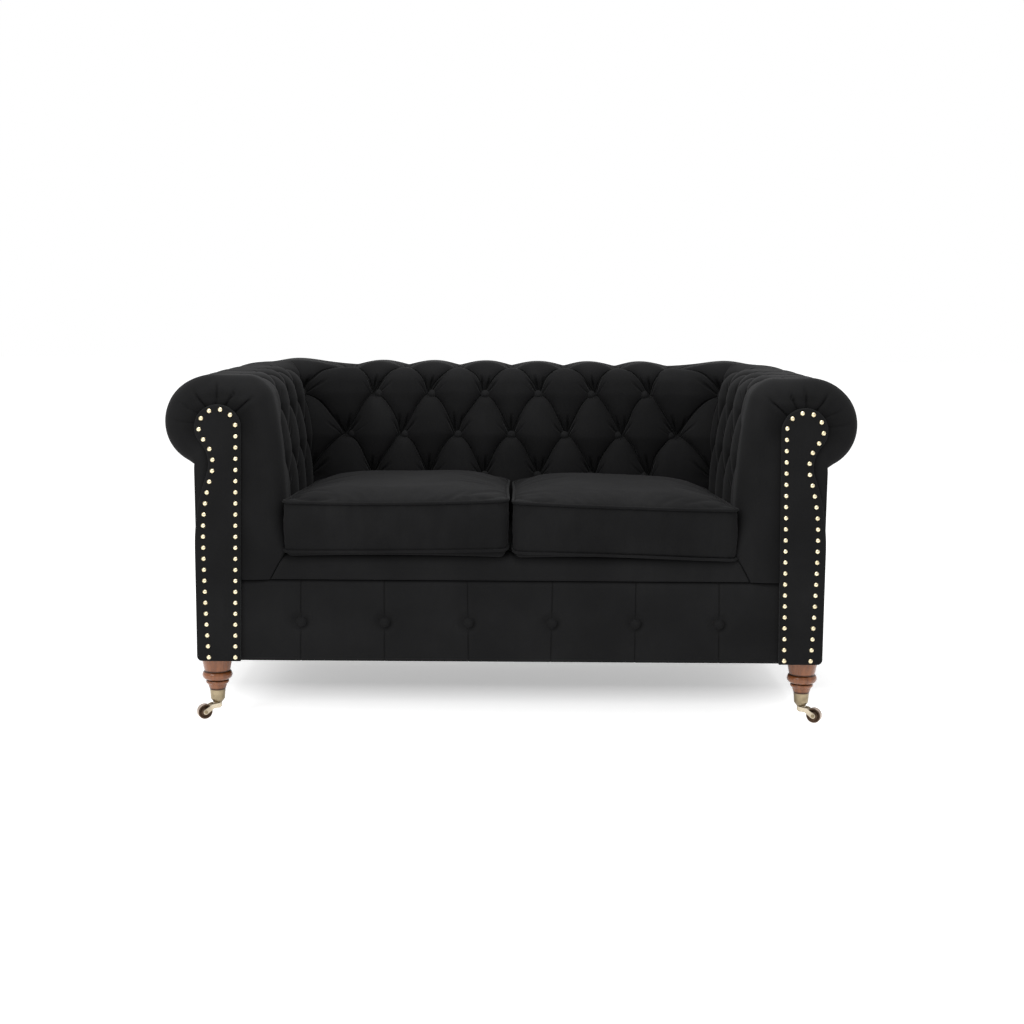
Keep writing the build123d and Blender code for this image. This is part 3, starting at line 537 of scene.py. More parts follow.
def close_ends(bm):
    bmesh.ops.holes_fill(bm, edges=open_edges(bm), sides=0)


def soften(bm, edges, radius):
    shape = {"offset": radius, "offset_type": "OFFSET", "segments": 3, "profile": 0.5}
    bmesh.ops.bevel(bm, geom=edges, affect="EDGES", material=-1, **shape)


def long_edges(bm, axis, length):
    return [e for e in bm.edges if abs((e.verts[0].co - e.verts[1].co)[axis]) > length]


def stand_aside(bm, side):
    """Carry what was drawn about the middle of a roll to the roll of one arm."""
    place = Matrix.Translation((side * roll_x, 0, 0)) @ Matrix.Diagonal((side, 1, 1, 1))
    bmesh.ops.transform(bm, matrix=place, verts=bm.verts[:])


# Buttoned padding
def face_normal(out, up, place):
    """Direction out of the padding at a place on the face line."""
    if place < upright:
        way = Vector((-1, 0, 0))
    elif place < to_shoulder:
        way = Vector((out - lean_centre[0], 0, up - lean_centre[1]))
    elif place < to_crest:
        way = Vector((out - shoulder_x, 0, up - shoulder_z))
    elif place < to_roll:
        way = Vector((0, 0, 1))
    elif place < face_end + 0.0005:
        way = Vector((out, 0, up - roll_z))
    else:
        way = Vector((1, 0, 0))
    return way.normalized()


def row_of(place):
    """Row number of a place on the face line: 0 at the lowest buttons, 3 at the crest."""
    if place <= row_places[0]:
        return max((place - row_places[0]) / row_pitch, -0.45)
    for row in range(3):
        if place <= row_places[row + 1]:
            return row + (place - row_places[row]) / (row_places[row + 1] - row_places[row])
    return min(3 + (place - row_places[3]) / row_pitch, 3.45)


def arched(row):
    """Row number bent so that the creases leave each button sideways and arch down from it."""
    row = min(max(row, 0.0), 3.0)
    return math.floor(row) + 1 - (1 - row % 1) ** arch_power


def lattice(column, place, gap, seed):
    """Column and row of a place, wandering a little between the buttons and still at the corner."""
    row = row_of(place)
    half = (row - 1) / 2
    near_first, near_second = round(column + half), round(column - half)
    across = (column - (near_first + near_second) / 2) * tuft_pitch
    along = (row - (near_first - near_second) - 1) * row_pitch
    loose = 1 - math.exp(-(across**2 + along**2) / 0.0012)
    loose *= ease(0, 0.3, gap)
    column += 0.05 * loose * rough((column * 1.1, place * 9, 0), 1, seed)
    row += 0.11 * loose * rough((column * 1.1, place * 9, 4), 1, seed)
    return column, row, across, along


def swell(share):
    """Roundness of the padding between a crease and the middle of a diamond."""
    return (1 - (1 - share) ** 2) ** 0.64


def buttoned(column, place, strength, gap, seed):
    """How far the padding is pulled in, the shade painted there, how free it stands, and its place in the
    buttoning.
    """
    column, row, across, along = lattice(column, place, gap, seed)
    bent = (arched(row) - 1) / 2
    height = 1.0
    for line in (column + bent, column - bent):
        height *= swell(1 - abs(2 * (line % 1) - 1))
    over = max(place - row_places[3], 0.0)
    depth = crease_depth * (1 - 0.35 * ease(0, 0.07, over))
    depth *= 1 - 0.75 * ease(0.10, 0.30, over)
    if place > row_places[3]:
        across, along = (column - round(column)) * tuft_pitch, place - row_places[3]
    if place < row_places[0]:
        across, along = (column % 1 - 0.5) * tuft_pitch, place - row_places[0]
    dip = hill(across, button_spread) * hill(along, gather_above if along > 0 else gather_below)
    pulled = depth * (1 - height) + button_dip * dip
    # Painted shade, deepest in the creases and round each button.
    fold_shade = min(max(0.5 * (1 - height) ** 2, 0.72 * dip), 1.0)
    free = 1 - strength * (1 - height)
    return pulled * strength, fold_shade * strength, free, (column, row, strength)


def settled(x, y, z, free):
    """Place of a cover point once the arm rolls have sunk and the corners have filled out."""
    aside = abs(x)
    out = max(aside - roll_x, y - roll_y)
    crown_share, side_share = ease(0.70, 0.79, z), ease(0.54, 0.62, z)
    weight = free * (crown_share + (side_share - crown_share) * ease(-0.06, 0.02, out))
    arm = -arm_sink * ease(0.50, 0.56, aside)
    if aside < corner_x:
        back = corner_rise * hill(corner_x - aside, 0.07)
    else:
        back = corner_rise - (corner_rise + corner_sink) * ease(corner_x, roll_x, aside)
    drop = weight * (arm + (back - arm) * ease(0.14, 0.30, y))
    aside += arm_spread * ease(0.03, 0.10, aside - roll_x) * side_share * (1 - ease(0.10, 0.30, y))
    inset = corner_round * ease(0.735, 0.78, z)
    long, deep = aside - (roll_x - inset), y - (roll_y - inset)
    rounding = 0.92 * ease(0.595, 0.66, z)
    if min(long, deep) > 0:
        reach, turn = max(long, deep), math.pi / 4 * min(long, deep) / max(long, deep)
        ends = (reach * math.cos(turn), reach * math.sin(turn))
        aside += rounding * (ends[long < deep] - long)
        y += rounding * (ends[long >= deep] - deep)
    return Vector((math.copysign(aside, x), y, z + drop))


def draw_face(bm, foot, girth):
    """Face line of the padding with its length marked on every point."""
    start = bm.verts.new((foot[0], 0, foot[1]))
    tip = straight(bm, start, (-inner_reach, 0, deck_top), 10)
    run = -(tip.co - start.co).length
    tip = straight(bm, tip, (-inner_reach, 0, lean_start), 16)
    tip = curve(bm, tip, lean_centre, lean_turn, 68)
    tip = curve(bm, tip, (shoulder_x, shoulder_z), math.pi / 2 - lean_turn, 21)
    tip = straight(bm, tip, (0, 0, crest), 17)
    curve(bm, tip, (0, roll_z), roll_turn, 66)
    line = walk(start)
    for last, point in zip(line[:1] + line, line):
        run += (point.co - last.co).length
        point[girth] = run
    return line


def close_hollow(bm, line, girth):
    """Back of the padding, from the end of the roll to the foot."""
    known = set(line)
    tip = straight(bm, line[-1], (panel_out, 0, roll_z - math.sqrt(hollow_radius**2 - panel_out**2)), 0)
    hollow_turn = math.pi / 2 + math.acos(panel_out / hollow_radius)
    tip = curve(bm, tip, (0, roll_z), -hollow_turn, 8)
    tip = straight(bm, tip, (-hollow_face, 0, roll_z + hollow_radius), 2)
    tip = straight(bm, tip, (-hollow_face, 0, pad_bottom), 6)
    bm.edges.new((tip, line[0]))
    for point in bm.verts:
        if point not in known:
            point[girth] = -1.0


def facing_edge_in(up):
    """Inner edge of the facing at a height."""
    return head[0] - head_radius * math.cos(facing_slant) + (facing_top - up) * math.tan(facing_slant)


def facing_edge_out(up):
    """Outer edge of the facing at a height below its head."""
    if up > flank[1] + flank_radius * math.sin(flank_turn):
        return neck[0] - math.sqrt(max(neck_radius**2 - (up - neck[1]) ** 2, 0))
    if up > flank[1]:
        return flank[0] + math.sqrt(flank_radius**2 - (up - flank[1]) ** 2)
    return facing_out


def head_angle(out, up):
    return math.atan2(up - head[1], out - head[0])


def leaves_head(place):
    """True where the roll, seen from the middle of the facing's head, has passed its neck."""
    turn = math.pi / 2 - (place - to_roll) / roll_radius
    return head_angle(roll_radius * math.cos(turn), roll_z + roll_radius * math.sin(turn)) < head_turn


roll_steps = [to_roll + roll_radius * roll_turn * step / 400 for step in range(400)]
roll_leave = next(place for place in roll_steps if leaves_head(place))


def facing_point(out, up, place, tuck):
    """Where the cover of the arm's front goes under the edge of the facing."""
    neck_up = head[1] + head_radius * math.sin(head_turn)
    turn = head_angle(out, up)
    if place < to_shoulder and up < head[1]:
        return facing_edge_in(up) + tuck, up
    if turn > head_turn and place < face_end:
        reach = head_radius - tuck
        return head[0] + reach * math.cos(turn), head[1] + reach * math.sin(turn)
    if place < face_end:
        share = (place - roll_leave) / (face_end - roll_leave)
        up = neck_up + (roll_end_up - neck_up) * share
    return facing_edge_out(up) - tuck, up


def front_radius(place):
    """Rounding of the arm's front edge at a place on the face line."""
    radius = 0.005 + 0.045 * ease(-0.02, 0.09, place)
    radius -= 0.018 * ease(to_roll + 0.06, face_end - 0.02, place)
    return radius - 0.027 * ease(face_end - 0.02, face_end + 0.01, place)


def front_place(out, up, place, ring, seed):
    """Place of a point of the arm's rounded front, ring by ring towards the facing, and the shade painted
    there.
    """
    normal = face_normal(out, up, place)
    radius = front_radius(place)
    turn = math.pi / 2 * min(ring, front_rounds) / front_rounds
    run = border_front + radius - radius * math.sin(turn)
    spot = Vector((out, 0, up)) - normal * radius * (1 - math.cos(turn))
    fold_shade, free = 0.0, 1.0
    if ring > front_rounds:
        share = (ring - front_rounds) / front_bands
        free = 1 - share
        edge = facing_point(out, up, place, front_tuck)
        spot = spot.lerp(Vector((edge[0], 0, edge[1])), share)
        # Painted shade where the cover tucks under the facing.
        fold_shade = 0.4 * ease(0.3, 1.0, share)
        run -= 0.006 * math.sin(math.pi * min(share * 0.62, 0.5))
    away = math.hypot(spot.x - head[0], spot.z - head[1])
    # Painted shade in a ring round the head of the facing.
    if ring >= front_rounds - 4:
        around = 1 - ease(head_radius, roll_radius, away)
        fold_shade = max(fold_shade, 0.62 * around * ease(head[1] - 0.06, head[1] + 0.01, spot.z))
    if ring >= front_rounds - 3 and spot.z > head[1] - 0.02:
        angle = head_angle(spot.x, spot.z)
        for index, pleat in enumerate(scroll_pleats):
            bend = 0.06 * math.sin(index * 1.9 + seed) * (away - head_radius) / 0.05
            side = (angle - pleat - bend) * away
            sharp = hill(side, scroll_pleat_width)
            reach = 0.116 + 0.010 * math.sin(index * 2.3 + seed)
            window = (0.45 if index < 2 else 1.0) * (1 - ease(0.082, reach, away))
            run += scroll_pleat_depth * sharp * window
            run -= 0.0016 * hill(abs(side) - 0.010, 0.007) * window
            # Painted shade along each pleat.
            fold_shade = max(fold_shade, 0.85 * sharp * window)
    return settled(roll_x + spot.x, run, spot.z, free), fold_shade


def arm_column(run, out):
    """Column number along the arm, closing up in the corner with the back."""
    if run <= arm_last_tuft:
        return (run - arm_last_tuft) / tuft_pitch
    return 0.5 * (run - arm_last_tuft) / (roll_y + out - arm_last_tuft)


def back_column(run, out):
    last = 3 * tuft_pitch
    if abs(run) <= last:
        return run / tuft_pitch
    return math.copysign(3 + 0.5 * (abs(run) - last) / (roll_x + out - last), run)


def pad_mesh(foot):
    """The closed section of a pad with its face line, and the marks that its points carry."""
    bm = bmesh.new()
    layers = bm.verts.layers
    marks = [layers.float.new(name) for name in ("girth", "ring", "fold_shade")] + [layers.float_vector.new("tuft")]
    line = draw_face(bm, foot, marks[0])
    close_hollow(bm, line, marks[0])
    return bm, line, marks


def make_arm_pad(side, word):
    bm, line, (girth, ring_mark, shade_mark, tuft_mark) = pad_mesh((-0.131, border_top))
    front_hollow = [e for e in bm.edges if min(v[girth] for v in e.verts) == -1.0]
    edges = [e for e in bm.edges if min(v[girth] for v in e.verts) != -1.0]
    sweep(bm, 150)
    swept = set(bm.verts)
    strip_tip = straight(bm, line[-1], (panel_out - 0.001, 0, border_top), 26)
    strip = {point for point in bm.verts if point not in swept}
    for point in strip:
        point[girth] = face_end + (roll_end_up - point.co.z)
    strip_edges = [e for e in bm.edges if not strip.isdisjoint(e.verts)]
    fill(bm, front_hollow + strip_edges + [bm.edges.new((strip_tip, line[0]))])
    edges += strip_edges
    for ring in range(1, front_rounds + front_bands + 1):
        drawn = bmesh.ops.extrude_edge_only(bm, edges=edges)["geom"]
        fresh = set(points_in(drawn))
        edges = [part for part in drawn if isinstance(part, bmesh.types.BMEdge) and set(part.verts) <= fresh]
        for point in fresh:
            point[ring_mark] = ring
    seed = 1.0 if side < 0 else 2.0
    to_roll_middle = Vector((roll_x, 0, 0))
    for point in bm.verts:
        (out, share, up), place = point.co, point[girth]
        if place == -1.0:
            point.co.y = frame_front + share * (roll_y + out - frame_front)
        elif point[ring_mark] == 0:
            start = max(frame_front, border_front + front_radius(place))
            run = start + share * (roll_y + out - start)
            strength = ease(-0.335, -0.285, run) if place < face_end else 0
            column = arm_column(run, out)
            pulled, fold_shade, free, tuft = buttoned(column, place, strength, 0.5 - column, seed)
            pulled += soft_uneven * rough((out, run, up), 9, seed)
            spot = Vector((out, 0, up)) - face_normal(out, up, place) * pulled
            run = start + share * (roll_y + spot.x - start)
            point.co = settled(roll_x + spot.x, run, spot.z, free) - to_roll_middle
            point[shade_mark] = fold_shade
            point[tuft_mark] = tuft
        else:
            spot, point[shade_mark] = front_place(out, up, place, point[ring_mark], seed)
            point.co = spot - to_roll_middle
    close_ends(bm)
    stand_aside(bm, side)
    pad_for("arm_pad_" + word, make_piece("arm_cover_" + word, bm, tufted_velvet))


def make_back_pad():
    bm, _, (girth, _, shade_mark, tuft_mark) = pad_mesh((-inner_reach, pad_bottom))
    sweep(bm, 300)
    for point in bm.verts:
        (out, along, up), place = point.co, point[girth]
        share = 2 * along - 1
        run = share * (roll_x + out)
        if place == -1.0:
            point.co = (run, roll_y + out, up)
            continue
        column = back_column(run, out)
        pulled, fold_shade, free, tuft = buttoned(column, place, 1.0, 3.5 - abs(column), 3.0)
        pulled += soft_uneven * rough((run, out, up), 9, 3.0)
        spot = Vector((out, 0, up)) - face_normal(out, up, max(place, 0)) * pulled
        point.co = settled(share * (roll_x + spot.x), roll_y + spot.x, spot.z, free)
        point[shade_mark] = fold_shade
        point[tuft_mark] = tuft
    close_ends(bm)
    pad_for("back_pad", make_piece("back_cover", bm, tufted_velvet))


for side, word in sides.items():
    make_arm_pad(side, word)
make_back_pad()


# Keyhole facings
def make_facing(side, word):
    bm = bmesh.new()
    low = base_bottom + 0.001
    start = bm.verts.new((facing_edge_in(low), 0, low))
    tip = straight(bm, start, (facing_edge_in(facing_top), 0, facing_top), 20)
    tip = curve(bm, tip, head, math.pi + facing_slant - head_turn, 26)
    tip = curve(bm, tip, neck, -(flank_turn - head_turn), 12)
    tip = curve(bm, tip, flank, flank_turn, 12)
    tip = straight(bm, tip, (facing_out, 0, low + base_corner), 14)
    tip = curve(bm, tip, (facing_out - base_corner, low + base_corner), math.pi / 2, 5)
    bm.edges.new((tip, start))
    fill(bm, bm.edges[:])
    bmesh.ops.translate(bm, verts=bm.verts[:], vec=(0, border_front, 0))
    front = points_in(bmesh.ops.extrude_face_region(bm, geom=bm.faces[:])["geom"])
    bmesh.ops.translate(bm, verts=front, vec=(0, facing_front - border_front, 0))
    soften(bm, [e for e in bm.edges if all(v.co.y < facing_front + 1e-5 for v in e.verts)], 0.004)
    stand_aside(bm, side)
    pad_for("arm_facing_" + word, make_piece("facing_cover_" + word, bm, plain_velvet))


for side, word in sides.items():
    make_facing(side, word)


# Front border with upright pleats
def border_dress(x, z):
    """How far the border stands back at a place, between its pleats and buttons, and the shade painted there.
    """
    back, fold_shade = 0.0, 0.0
    for index, column in enumerate(border_columns):
        above = z - border_level
        aside = x - column - 0.0016 * math.sin(index * 2.1 + 1) * above / 0.09
        pleat = hill(aside, border_pleat_width)
        step = 0.0008 * ease(-0.001, 0.001, aside) * (1 - ease(0.002, 0.045, aside))
        back -= step * (1 - ease(0.010, 0.030, abs(above)) * 0.3)
        distance = math.hypot(x - column, above)
        dip = 1 - ease(0.0115, 0.030, distance)
        back += border_hollow * dip + border_pleat_depth * pleat * (1 - dip)
        shaded = max(0.88 * (x - column) - 0.47 * above, 0.0) / max(distance, 0.001)
        # Painted shade along the pleats and in a crescent to the lower right of each button.
        fold_shade = max(fold_shade, 0.34 * pleat, 0.75 * shaded * (1 - ease(0.0125, 0.0215, distance)))
    return back, fold_shade


def make_border():
    bm = bmesh.new()
    shade_mark = bm.verts.layers.float.new("fold_shade")
    half, low, high = border_half, base_bottom + 0.0005, border_top - 0.0003
    bmesh.ops.create_grid(bm, x_segments=330, y_segments=60, size=1)
    for point in bm.verts:
        x, z = point.co.x * half, low + (point.co.y + 1) / 2 * (high - low)
        phase = math.tau * (x - border_columns[0]) / border_pitch
        if abs(x) < half - 0.001:
            x -= 0.86 * border_pitch / math.tau * math.sin(phase) * (1 - ease(0.6, half, abs(x)))
        back, fold_shade = border_dress(x, z)
        run = border_front - 0.0015 + 0.006 * (1 - ease(0, 0.010, min(z - low, high - z))) + back
        run += 0.0009 * rough((x, 0, z), 8, 4.0)
        # Painted shade also along the top edge, under the lip.
        point[shade_mark] = max(fold_shade, 0.8 * (1 - ease(0, 0.005, high - z)))
        corner = Vector((abs(x) - half + base_corner, low + base_corner - z))
        if min(corner) > 0 and corner.length > base_corner:
            corner = corner.normalized() * base_corner
            x = math.copysign(half - base_corner + corner.x, x)
            z = low + base_corner - corner.y
        point.co = (x, max(run, border_front - 0.002), z)
    for point in points_in(bmesh.ops.extrude_edge_only(bm, edges=open_edges(bm))["geom"]):
        point.co.y = frame_front - 0.0002
    close_ends(bm)
    pad_for("front_border", make_piece("front_border_cover", bm, pleated_velvet))


make_border()


# Padded lip under the cushions
def make_lip():
    bm = bmesh.new()
    low, back = border_top + 0.0004, lip_back - 0.0005
    start = bm.verts.new((border_front + 0.004, 0, low))
    tip = curve(bm, start, (border_front + 0.004, low + 0.004), math.pi / 2, 3)
    tip = straight(bm, tip, (border_front, 0, deck_top - lip_round), 6)
    tip = curve(bm, tip, (border_front + lip_round, deck_top - lip_round), math.pi / 2, 9)
    tip = straight(bm, tip, (back, 0, deck_top), 3)
    tip = straight(bm, tip, (back, 0, low), 1)
    bm.edges.new((tip, start))
    sweep(bm, 130)
    for point in bm.verts:
        deep, along, up = point.co
        half = seat_half + 0.033 * (deck_top - up) / (deck_top - border_top) - 0.0004
        run = (2 * along - 1) * half
        puff = max(soft_uneven * rough((run, 0, up), 7, 5.0) - 0.0008, -soft_uneven)
        front = 1 - ease(border_front + 0.002, border_front + 0.02, deep)
        point.co = (run, deep + puff * front, up)
    close_ends(bm)
    pad_for("seat_lip", make_piece("lip_cover", bm, plain_velvet))


make_lip()


# Seat cushions
def cushion_place(across, deep, inset):
    """Point of the rounded cushion outline for a place on a square from -1 to 1."""
    half = (cushion_outer - cushion_inner) / 2 - inset
    long = (cushion_back - cushion_front) / 2 - inset
    x, y = across * half, deep * long
    x -= math.copysign(cushion_draw, x) * abs(across) * (1 - deep * deep)
    y -= math.copysign(cushion_draw, y) * abs(deep) * (1 - across * across)
    round_x, round_y = abs(x) - (half - cushion_corner), abs(y) - (long - cushion_corner)
    if round_x > 0 and round_y > 0:
        a, b = round_x / cushion_corner, round_y / cushion_corner
        a, b = a * math.sqrt(1 - b * b / 2), b * math.sqrt(1 - a * a / 2)
        x = math.copysign(half - cushion_corner + a * cushion_corner, x)
        y = math.copysign(long - cushion_corner + b * cushion_corner, y)
    return x, y


def crown(across, deep):
    """Rise of the cushion top: steep at the seam, flat in the middle."""
    rises = [(1 - (1 - min((1 - abs(place)) / 0.7, 1)) ** 2) ** 0.8 for place in (across, deep)]
    return rises[0] * rises[1]


def cushion_share(x):
    """0 at the inner side of a cushion, 1 at its outer side."""
    return (abs(x) - cushion_inner) / (cushion_outer - cushion_inner)


def seam_lift(side, x):
    """How far the seams of a used cushion stand above or below their level at a place across it."""
    inner, middle, outer = seam_levels[side]
    share = cushion_share(x)
    return inner + (4 * middle - 3 * inner - outer) * share + 2 * (inner + outer - 2 * middle) * share**2


def back_fall(x, y):
    """How far a cushion top sinks towards its back, most of all at the two corners."""
    corner = 0.16 + 0.84 * abs(2 * cushion_share(x) - 1) ** 5
    return cushion_back_fall * corner * ease(cushion_front + 0.06, cushion_back, y)


def front_droop(side, x, y):
    """How far the lower seam hangs over the rounded edge of the lip."""
    ends = 0.8 + 0.35 * (2 * cushion_share(x) - 1) ** 2
    return cushion_droop[side] * ends * (1 - ease(-0.409, -0.379, y))


def corner_flare(x, y):
    """How far the outer front corner swells past the edge of the arm."""
    return 0.0085 * ease(0.40, cushion_outer, abs(x)) * (1 - ease(-0.405, -0.362, y))


def make_cushion(side, name):
    """A sewn cushion before it is filled, and how firmly each of its points is held."""
    bm = bmesh.new()
    bmesh.ops.create_cube(bm, size=2)
    for axis, cuts in enumerate((55, 62, 11)):
        bmesh.ops.subdivide_edges(bm, edges=long_edges(bm, axis, 1), cuts=cuts, use_grid_fill=True)
    bm.verts.index_update()
    pins = {}
    for point in bm.verts:
        across, deep, level = point.co
        rim = max(abs(across), abs(deep))
        bulge = (1 - level * level) * 0.002
        x, y = cushion_place(across, deep, seam_inset - bulge)
        if level > 0.9999:
            z = high_seam + 0.35 * cushion_crown * crown(across, deep)
            pin = 1.0 if rim > 0.9999 else 0.0
        elif level < -0.9999:
            z = low_seam + (cushion_bottom - low_seam) * ease(0, 0.04, 1 - rim)
            pin = 1.0
        else:
            z = low_seam + (level + 1) / 2 * (high_seam - low_seam)
            pin = 0.0 if deep < -0.98 else 0.35
        point.co = (side * cushion_middle[0] + x, cushion_middle[1] + y, z)
        pins[point.index] = pin
    return make_piece(name, bm, cushion_velvet, body="cushion_" + sides[side]), pins


cloth_settings = {
    "quality": 6,
    "mass": 0.3,
    "tension_stiffness": 12,
    "compression_stiffness": 12,
    "shear_stiffness": 6,
    "bending_stiffness": 0.6,
    "vertex_group_mass": "seams",
    "use_pressure": True,
    "uniform_pressure_force": 4.0,
    "shrink_min": -0.02,
}


def inflate(piece, pins, frames, cap):
    """Blow the cushion up against its pinned seams and keep the result."""
    group = piece.vertex_groups.new(name="seams")
    for index, weight in pins.items():
        if weight:
            group.add([index], weight, "REPLACE")
    before = [v.co.copy() for v in piece.data.vertices]
    cloth = piece.modifiers.new("filling", "CLOTH")
    for label, value in cloth_settings.items():
        setattr(cloth.settings, label, value)
    cloth.settings.effector_weights.gravity = 0
    cloth.collision_settings.use_collision = False
    cloth.point_cache.frame_start = 1
    cloth.point_cache.frame_end = frames
    scene = bpy.context.scene
    for step in range(1, frames + 1):
        scene.frame_set(step)
    shaped = piece.evaluated_get(bpy.context.evaluated_depsgraph_get()).to_mesh()
    after = [v.co.copy() for v in shaped.vertices]
    piece.modifiers.remove(cloth)
    piece.vertex_groups.remove(group)
    scene.frame_set(1)
    for vertex, old, new in zip(piece.data.vertices, before, after):
        move = new - old
        if move.length > cap:
            move = move.normalized() * cap
        vertex.co = old + move


def settle_cushion(piece, side, seed):
    """Keep a cushion inside its place, and paint shade along its seams."""
    mark = piece.data.attributes.new("fold_shade", "FLOAT", "POINT")
    for vertex, value in zip(piece.data.vertices, mark.data):
        x, y, z = vertex.co
        inner, outer = cushion_inner + 0.0004, cushion_outer - 0.0002
        x = side * (min(max(abs(x), inner), outer) + corner_flare(x, y))
        y = min(max(y, cushion_front - 0.004), cushion_back - 0.0002)
        top = ease(high_seam + 0.004, high_seam + 0.02, z)
        z += top * 0.0022 * rough((x, y, 0), 6, seed)
        z = max(z, cushion_bottom)
        if z > high_seam:
            z = high_seam + cushion_limit * math.tanh((z - high_seam) / cushion_limit)
        upper = ease(low_seam, high_seam, z)
        lift = seam_lift(side, x) * ease(cushion_bottom, low_seam + 0.01, z)
        lift -= back_fall(x, y) * upper + front_droop(side, x, y) * (1 - upper)
        vertex.co = (x, y, z + lift)
        # Painted shade along both seams.
        seam = min(abs(z - high_seam), abs(z - low_seam))
        value.value = 0.55 * (1 - ease(0.001, 0.006, seam))


def seam_line(side, level):
    """Middle of the cord along one seam of a cushion."""
    loop = bmesh.new()
    bmesh.ops.create_grid(loop, x_segments=48, y_segments=54, size=1)
    rim = [v.co.copy() for v in loop.verts if max(abs(v.co.x), abs(v.co.y)) > 0.999]
    loop.free()
    line = []
    for place in sorted(rim, key=lambda place: math.atan2(place.y, place.x)):
        x, y = cushion_place(place.x, place.y, piping_radius + 0.0003)
        x, y = side * cushion_middle[0] + x, cushion_middle[1] + y
        z = max(level + seam_lift(side, x), cushion_bottom + piping_radius)
        z -= back_fall(x, y) if level == high_seam else front_droop(side, x, y)
        line.append(Vector((x + side * corner_flare(x, y), y, z)))
    return line


def make_piping(side, name):
    """Covered cord along both seams of a cushion."""
    bm = bmesh.new()
    for level in (low_seam, high_seam):
        line = seam_line(side, level)
        rings = []
        for last, spot, following in zip(line[-1:] + line, line, line[1:] + line):
            turn = (following - last).normalized().to_track_quat("Z", "Y").to_matrix().to_4x4()
            place = Matrix.Translation(spot) @ turn
            ring = bmesh.ops.create_circle(bm, segments=8, radius=piping_radius, matrix=place)["verts"]
            rings.append(list(dict.fromkeys(e for v in ring for e in v.link_edges)))
        for ring, following in zip(rings, rings[1:] + rings):
            bmesh.ops.bridge_loops(bm, edges=ring + following)
    return make_piece(name, bm, cushion_velvet, body="cushion_" + sides[side])


for side, word in sides.items():
    cushion, pins = make_cushion(side, "cushion_cover_" + word)
    inflate(cushion, pins, 20, 0.024)
    settle_cushion(cushion, side, 6.0 if side < 0 else 7.0)
    rounding = cushion.modifiers.new("rounding", "SUBSURF")
    rounding.levels = rounding.render_levels = 1
    pad_for("seat_cushion_" + word, cushion)
    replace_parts(make_piping(side, "cushion_cord_" + word), "cushion_piping_" + word)


# Outside panels, deck and cloths
def make_slab(name, low, high, puff_axis, puff, edge, cuts, material=plain_velvet, slot="velvet"):
    """Covered slab with soft edges, slightly swollen on its outer side."""
    bm = bmesh.new()
    bmesh.ops.create_cube(bm, size=1)
    size = Vector(high) - Vector(low)
    bmesh.ops.scale(bm, vec=size, verts=bm.verts[:])
    soften(bm, bm.edges[:], edge)
    for axis, count in enumerate(cuts):
        if count:
            edges = long_edges(bm, axis, 0.8 * size[axis])
            bmesh.ops.subdivide_edges(bm, edges=edges, cuts=count, use_grid_fill=True)
    way, sign = abs(puff_axis) - 1, math.copysign(1, puff_axis)
    for point in bm.verts:
        if point.co[way] * sign > 0:
            share = 1.0
            for axis in {0, 1, 2} - {way}:
                share *= 1 - (2 * abs(point.co[axis]) / size[axis]) ** 4
            lift = puff * max(share, 0) + 0.0006 * share * rough(point.co, 6, 8.0)
            point.co[way] += sign * lift
    bmesh.ops.translate(bm, verts=bm.verts[:], vec=(Vector(high) + Vector(low)) / 2)
    return make_piece(name, bm, material, slot=slot)


for side, word in sides.items():
    inner, outer = sorted((side * (roll_x + panel_in), side * (roll_x + panel_out)))
    low, high = (inner, frame_front + 0.0003, base_bottom), (outer, panel_back, panel_top)
    panel = make_slab("outside_arm_cover_" + word, low, high, side, 0.0022, 0.0022, (0, 40, 30))
    pad_for("outside_arm_panel_" + word, panel)
low, high = (-0.708, frame_back + 0.0002, base_bottom), (0.708, panel_back, panel_top)
back_panel = make_slab("outside_back_cover", low, high, 2, 0.0025, 0.0022, (80, 0, 30))
pad_for("outside_back_panel", back_panel)
low, high = (-seat_half, lip_back, 0.3435), (seat_half, seat_back, deck_top - 0.0012)
deck = make_slab("deck_cover", low, high, 3, 0.001, 0.006, (50, 30, 0), deck_cloth, "deck_cloth")
pad_for("deck_pad", deck)


def make_cloth_sheet(name, node, material, slot, sag):
    """Thin cloth over the place of a hidden or underside cloth."""
    low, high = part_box(node)
    bm = bmesh.new()
    bmesh.ops.create_grid(bm, x_segments=60, y_segments=32, size=1)
    size, middle = high - low, (low + high) / 2
    for point in bm.verts:
        x, y, _ = point.co
        share = (1 - x**2) * (1 - y**2)
        wrinkle = 0.001 * rough(point.co, 9, 9.0) * share
        point.co = middle + Vector((x * size.x / 2, y * size.y / 2, wrinkle - sag * share))
    piece = make_piece(name, bm, material, slot=slot)
    thickness = piece.modifiers.new("thickness", "SOLIDIFY")
    thickness.thickness = 0.0008
    thickness.offset = 0
    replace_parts(piece, node)


make_cloth_sheet("dust_cloth_sheet", "dust_cover", dust_cloth, "dust_cloth", 0.004)
make_cloth_sheet("spring_cloth_sheet", "spring_cover", jute_webbing, "webbing", 0.0)


# Castor wheels: dark discs with a pale tread, each drawn as radius and half width
wheel_section = (
    (0.0026, 0.0078),
    (0.0050, 0.0078),
    (0.0056, 0.0060),
    (0.0122, 0.0060),
    (0.0128, 0.0078),
    (0.0150, 0.0080),
    (0.0166, 0.0072),
    (0.0174, 0.0054),
    (0.0175, 0.0),
)
tread_radius = 0.0162
wheel_turn = math.radians(27)


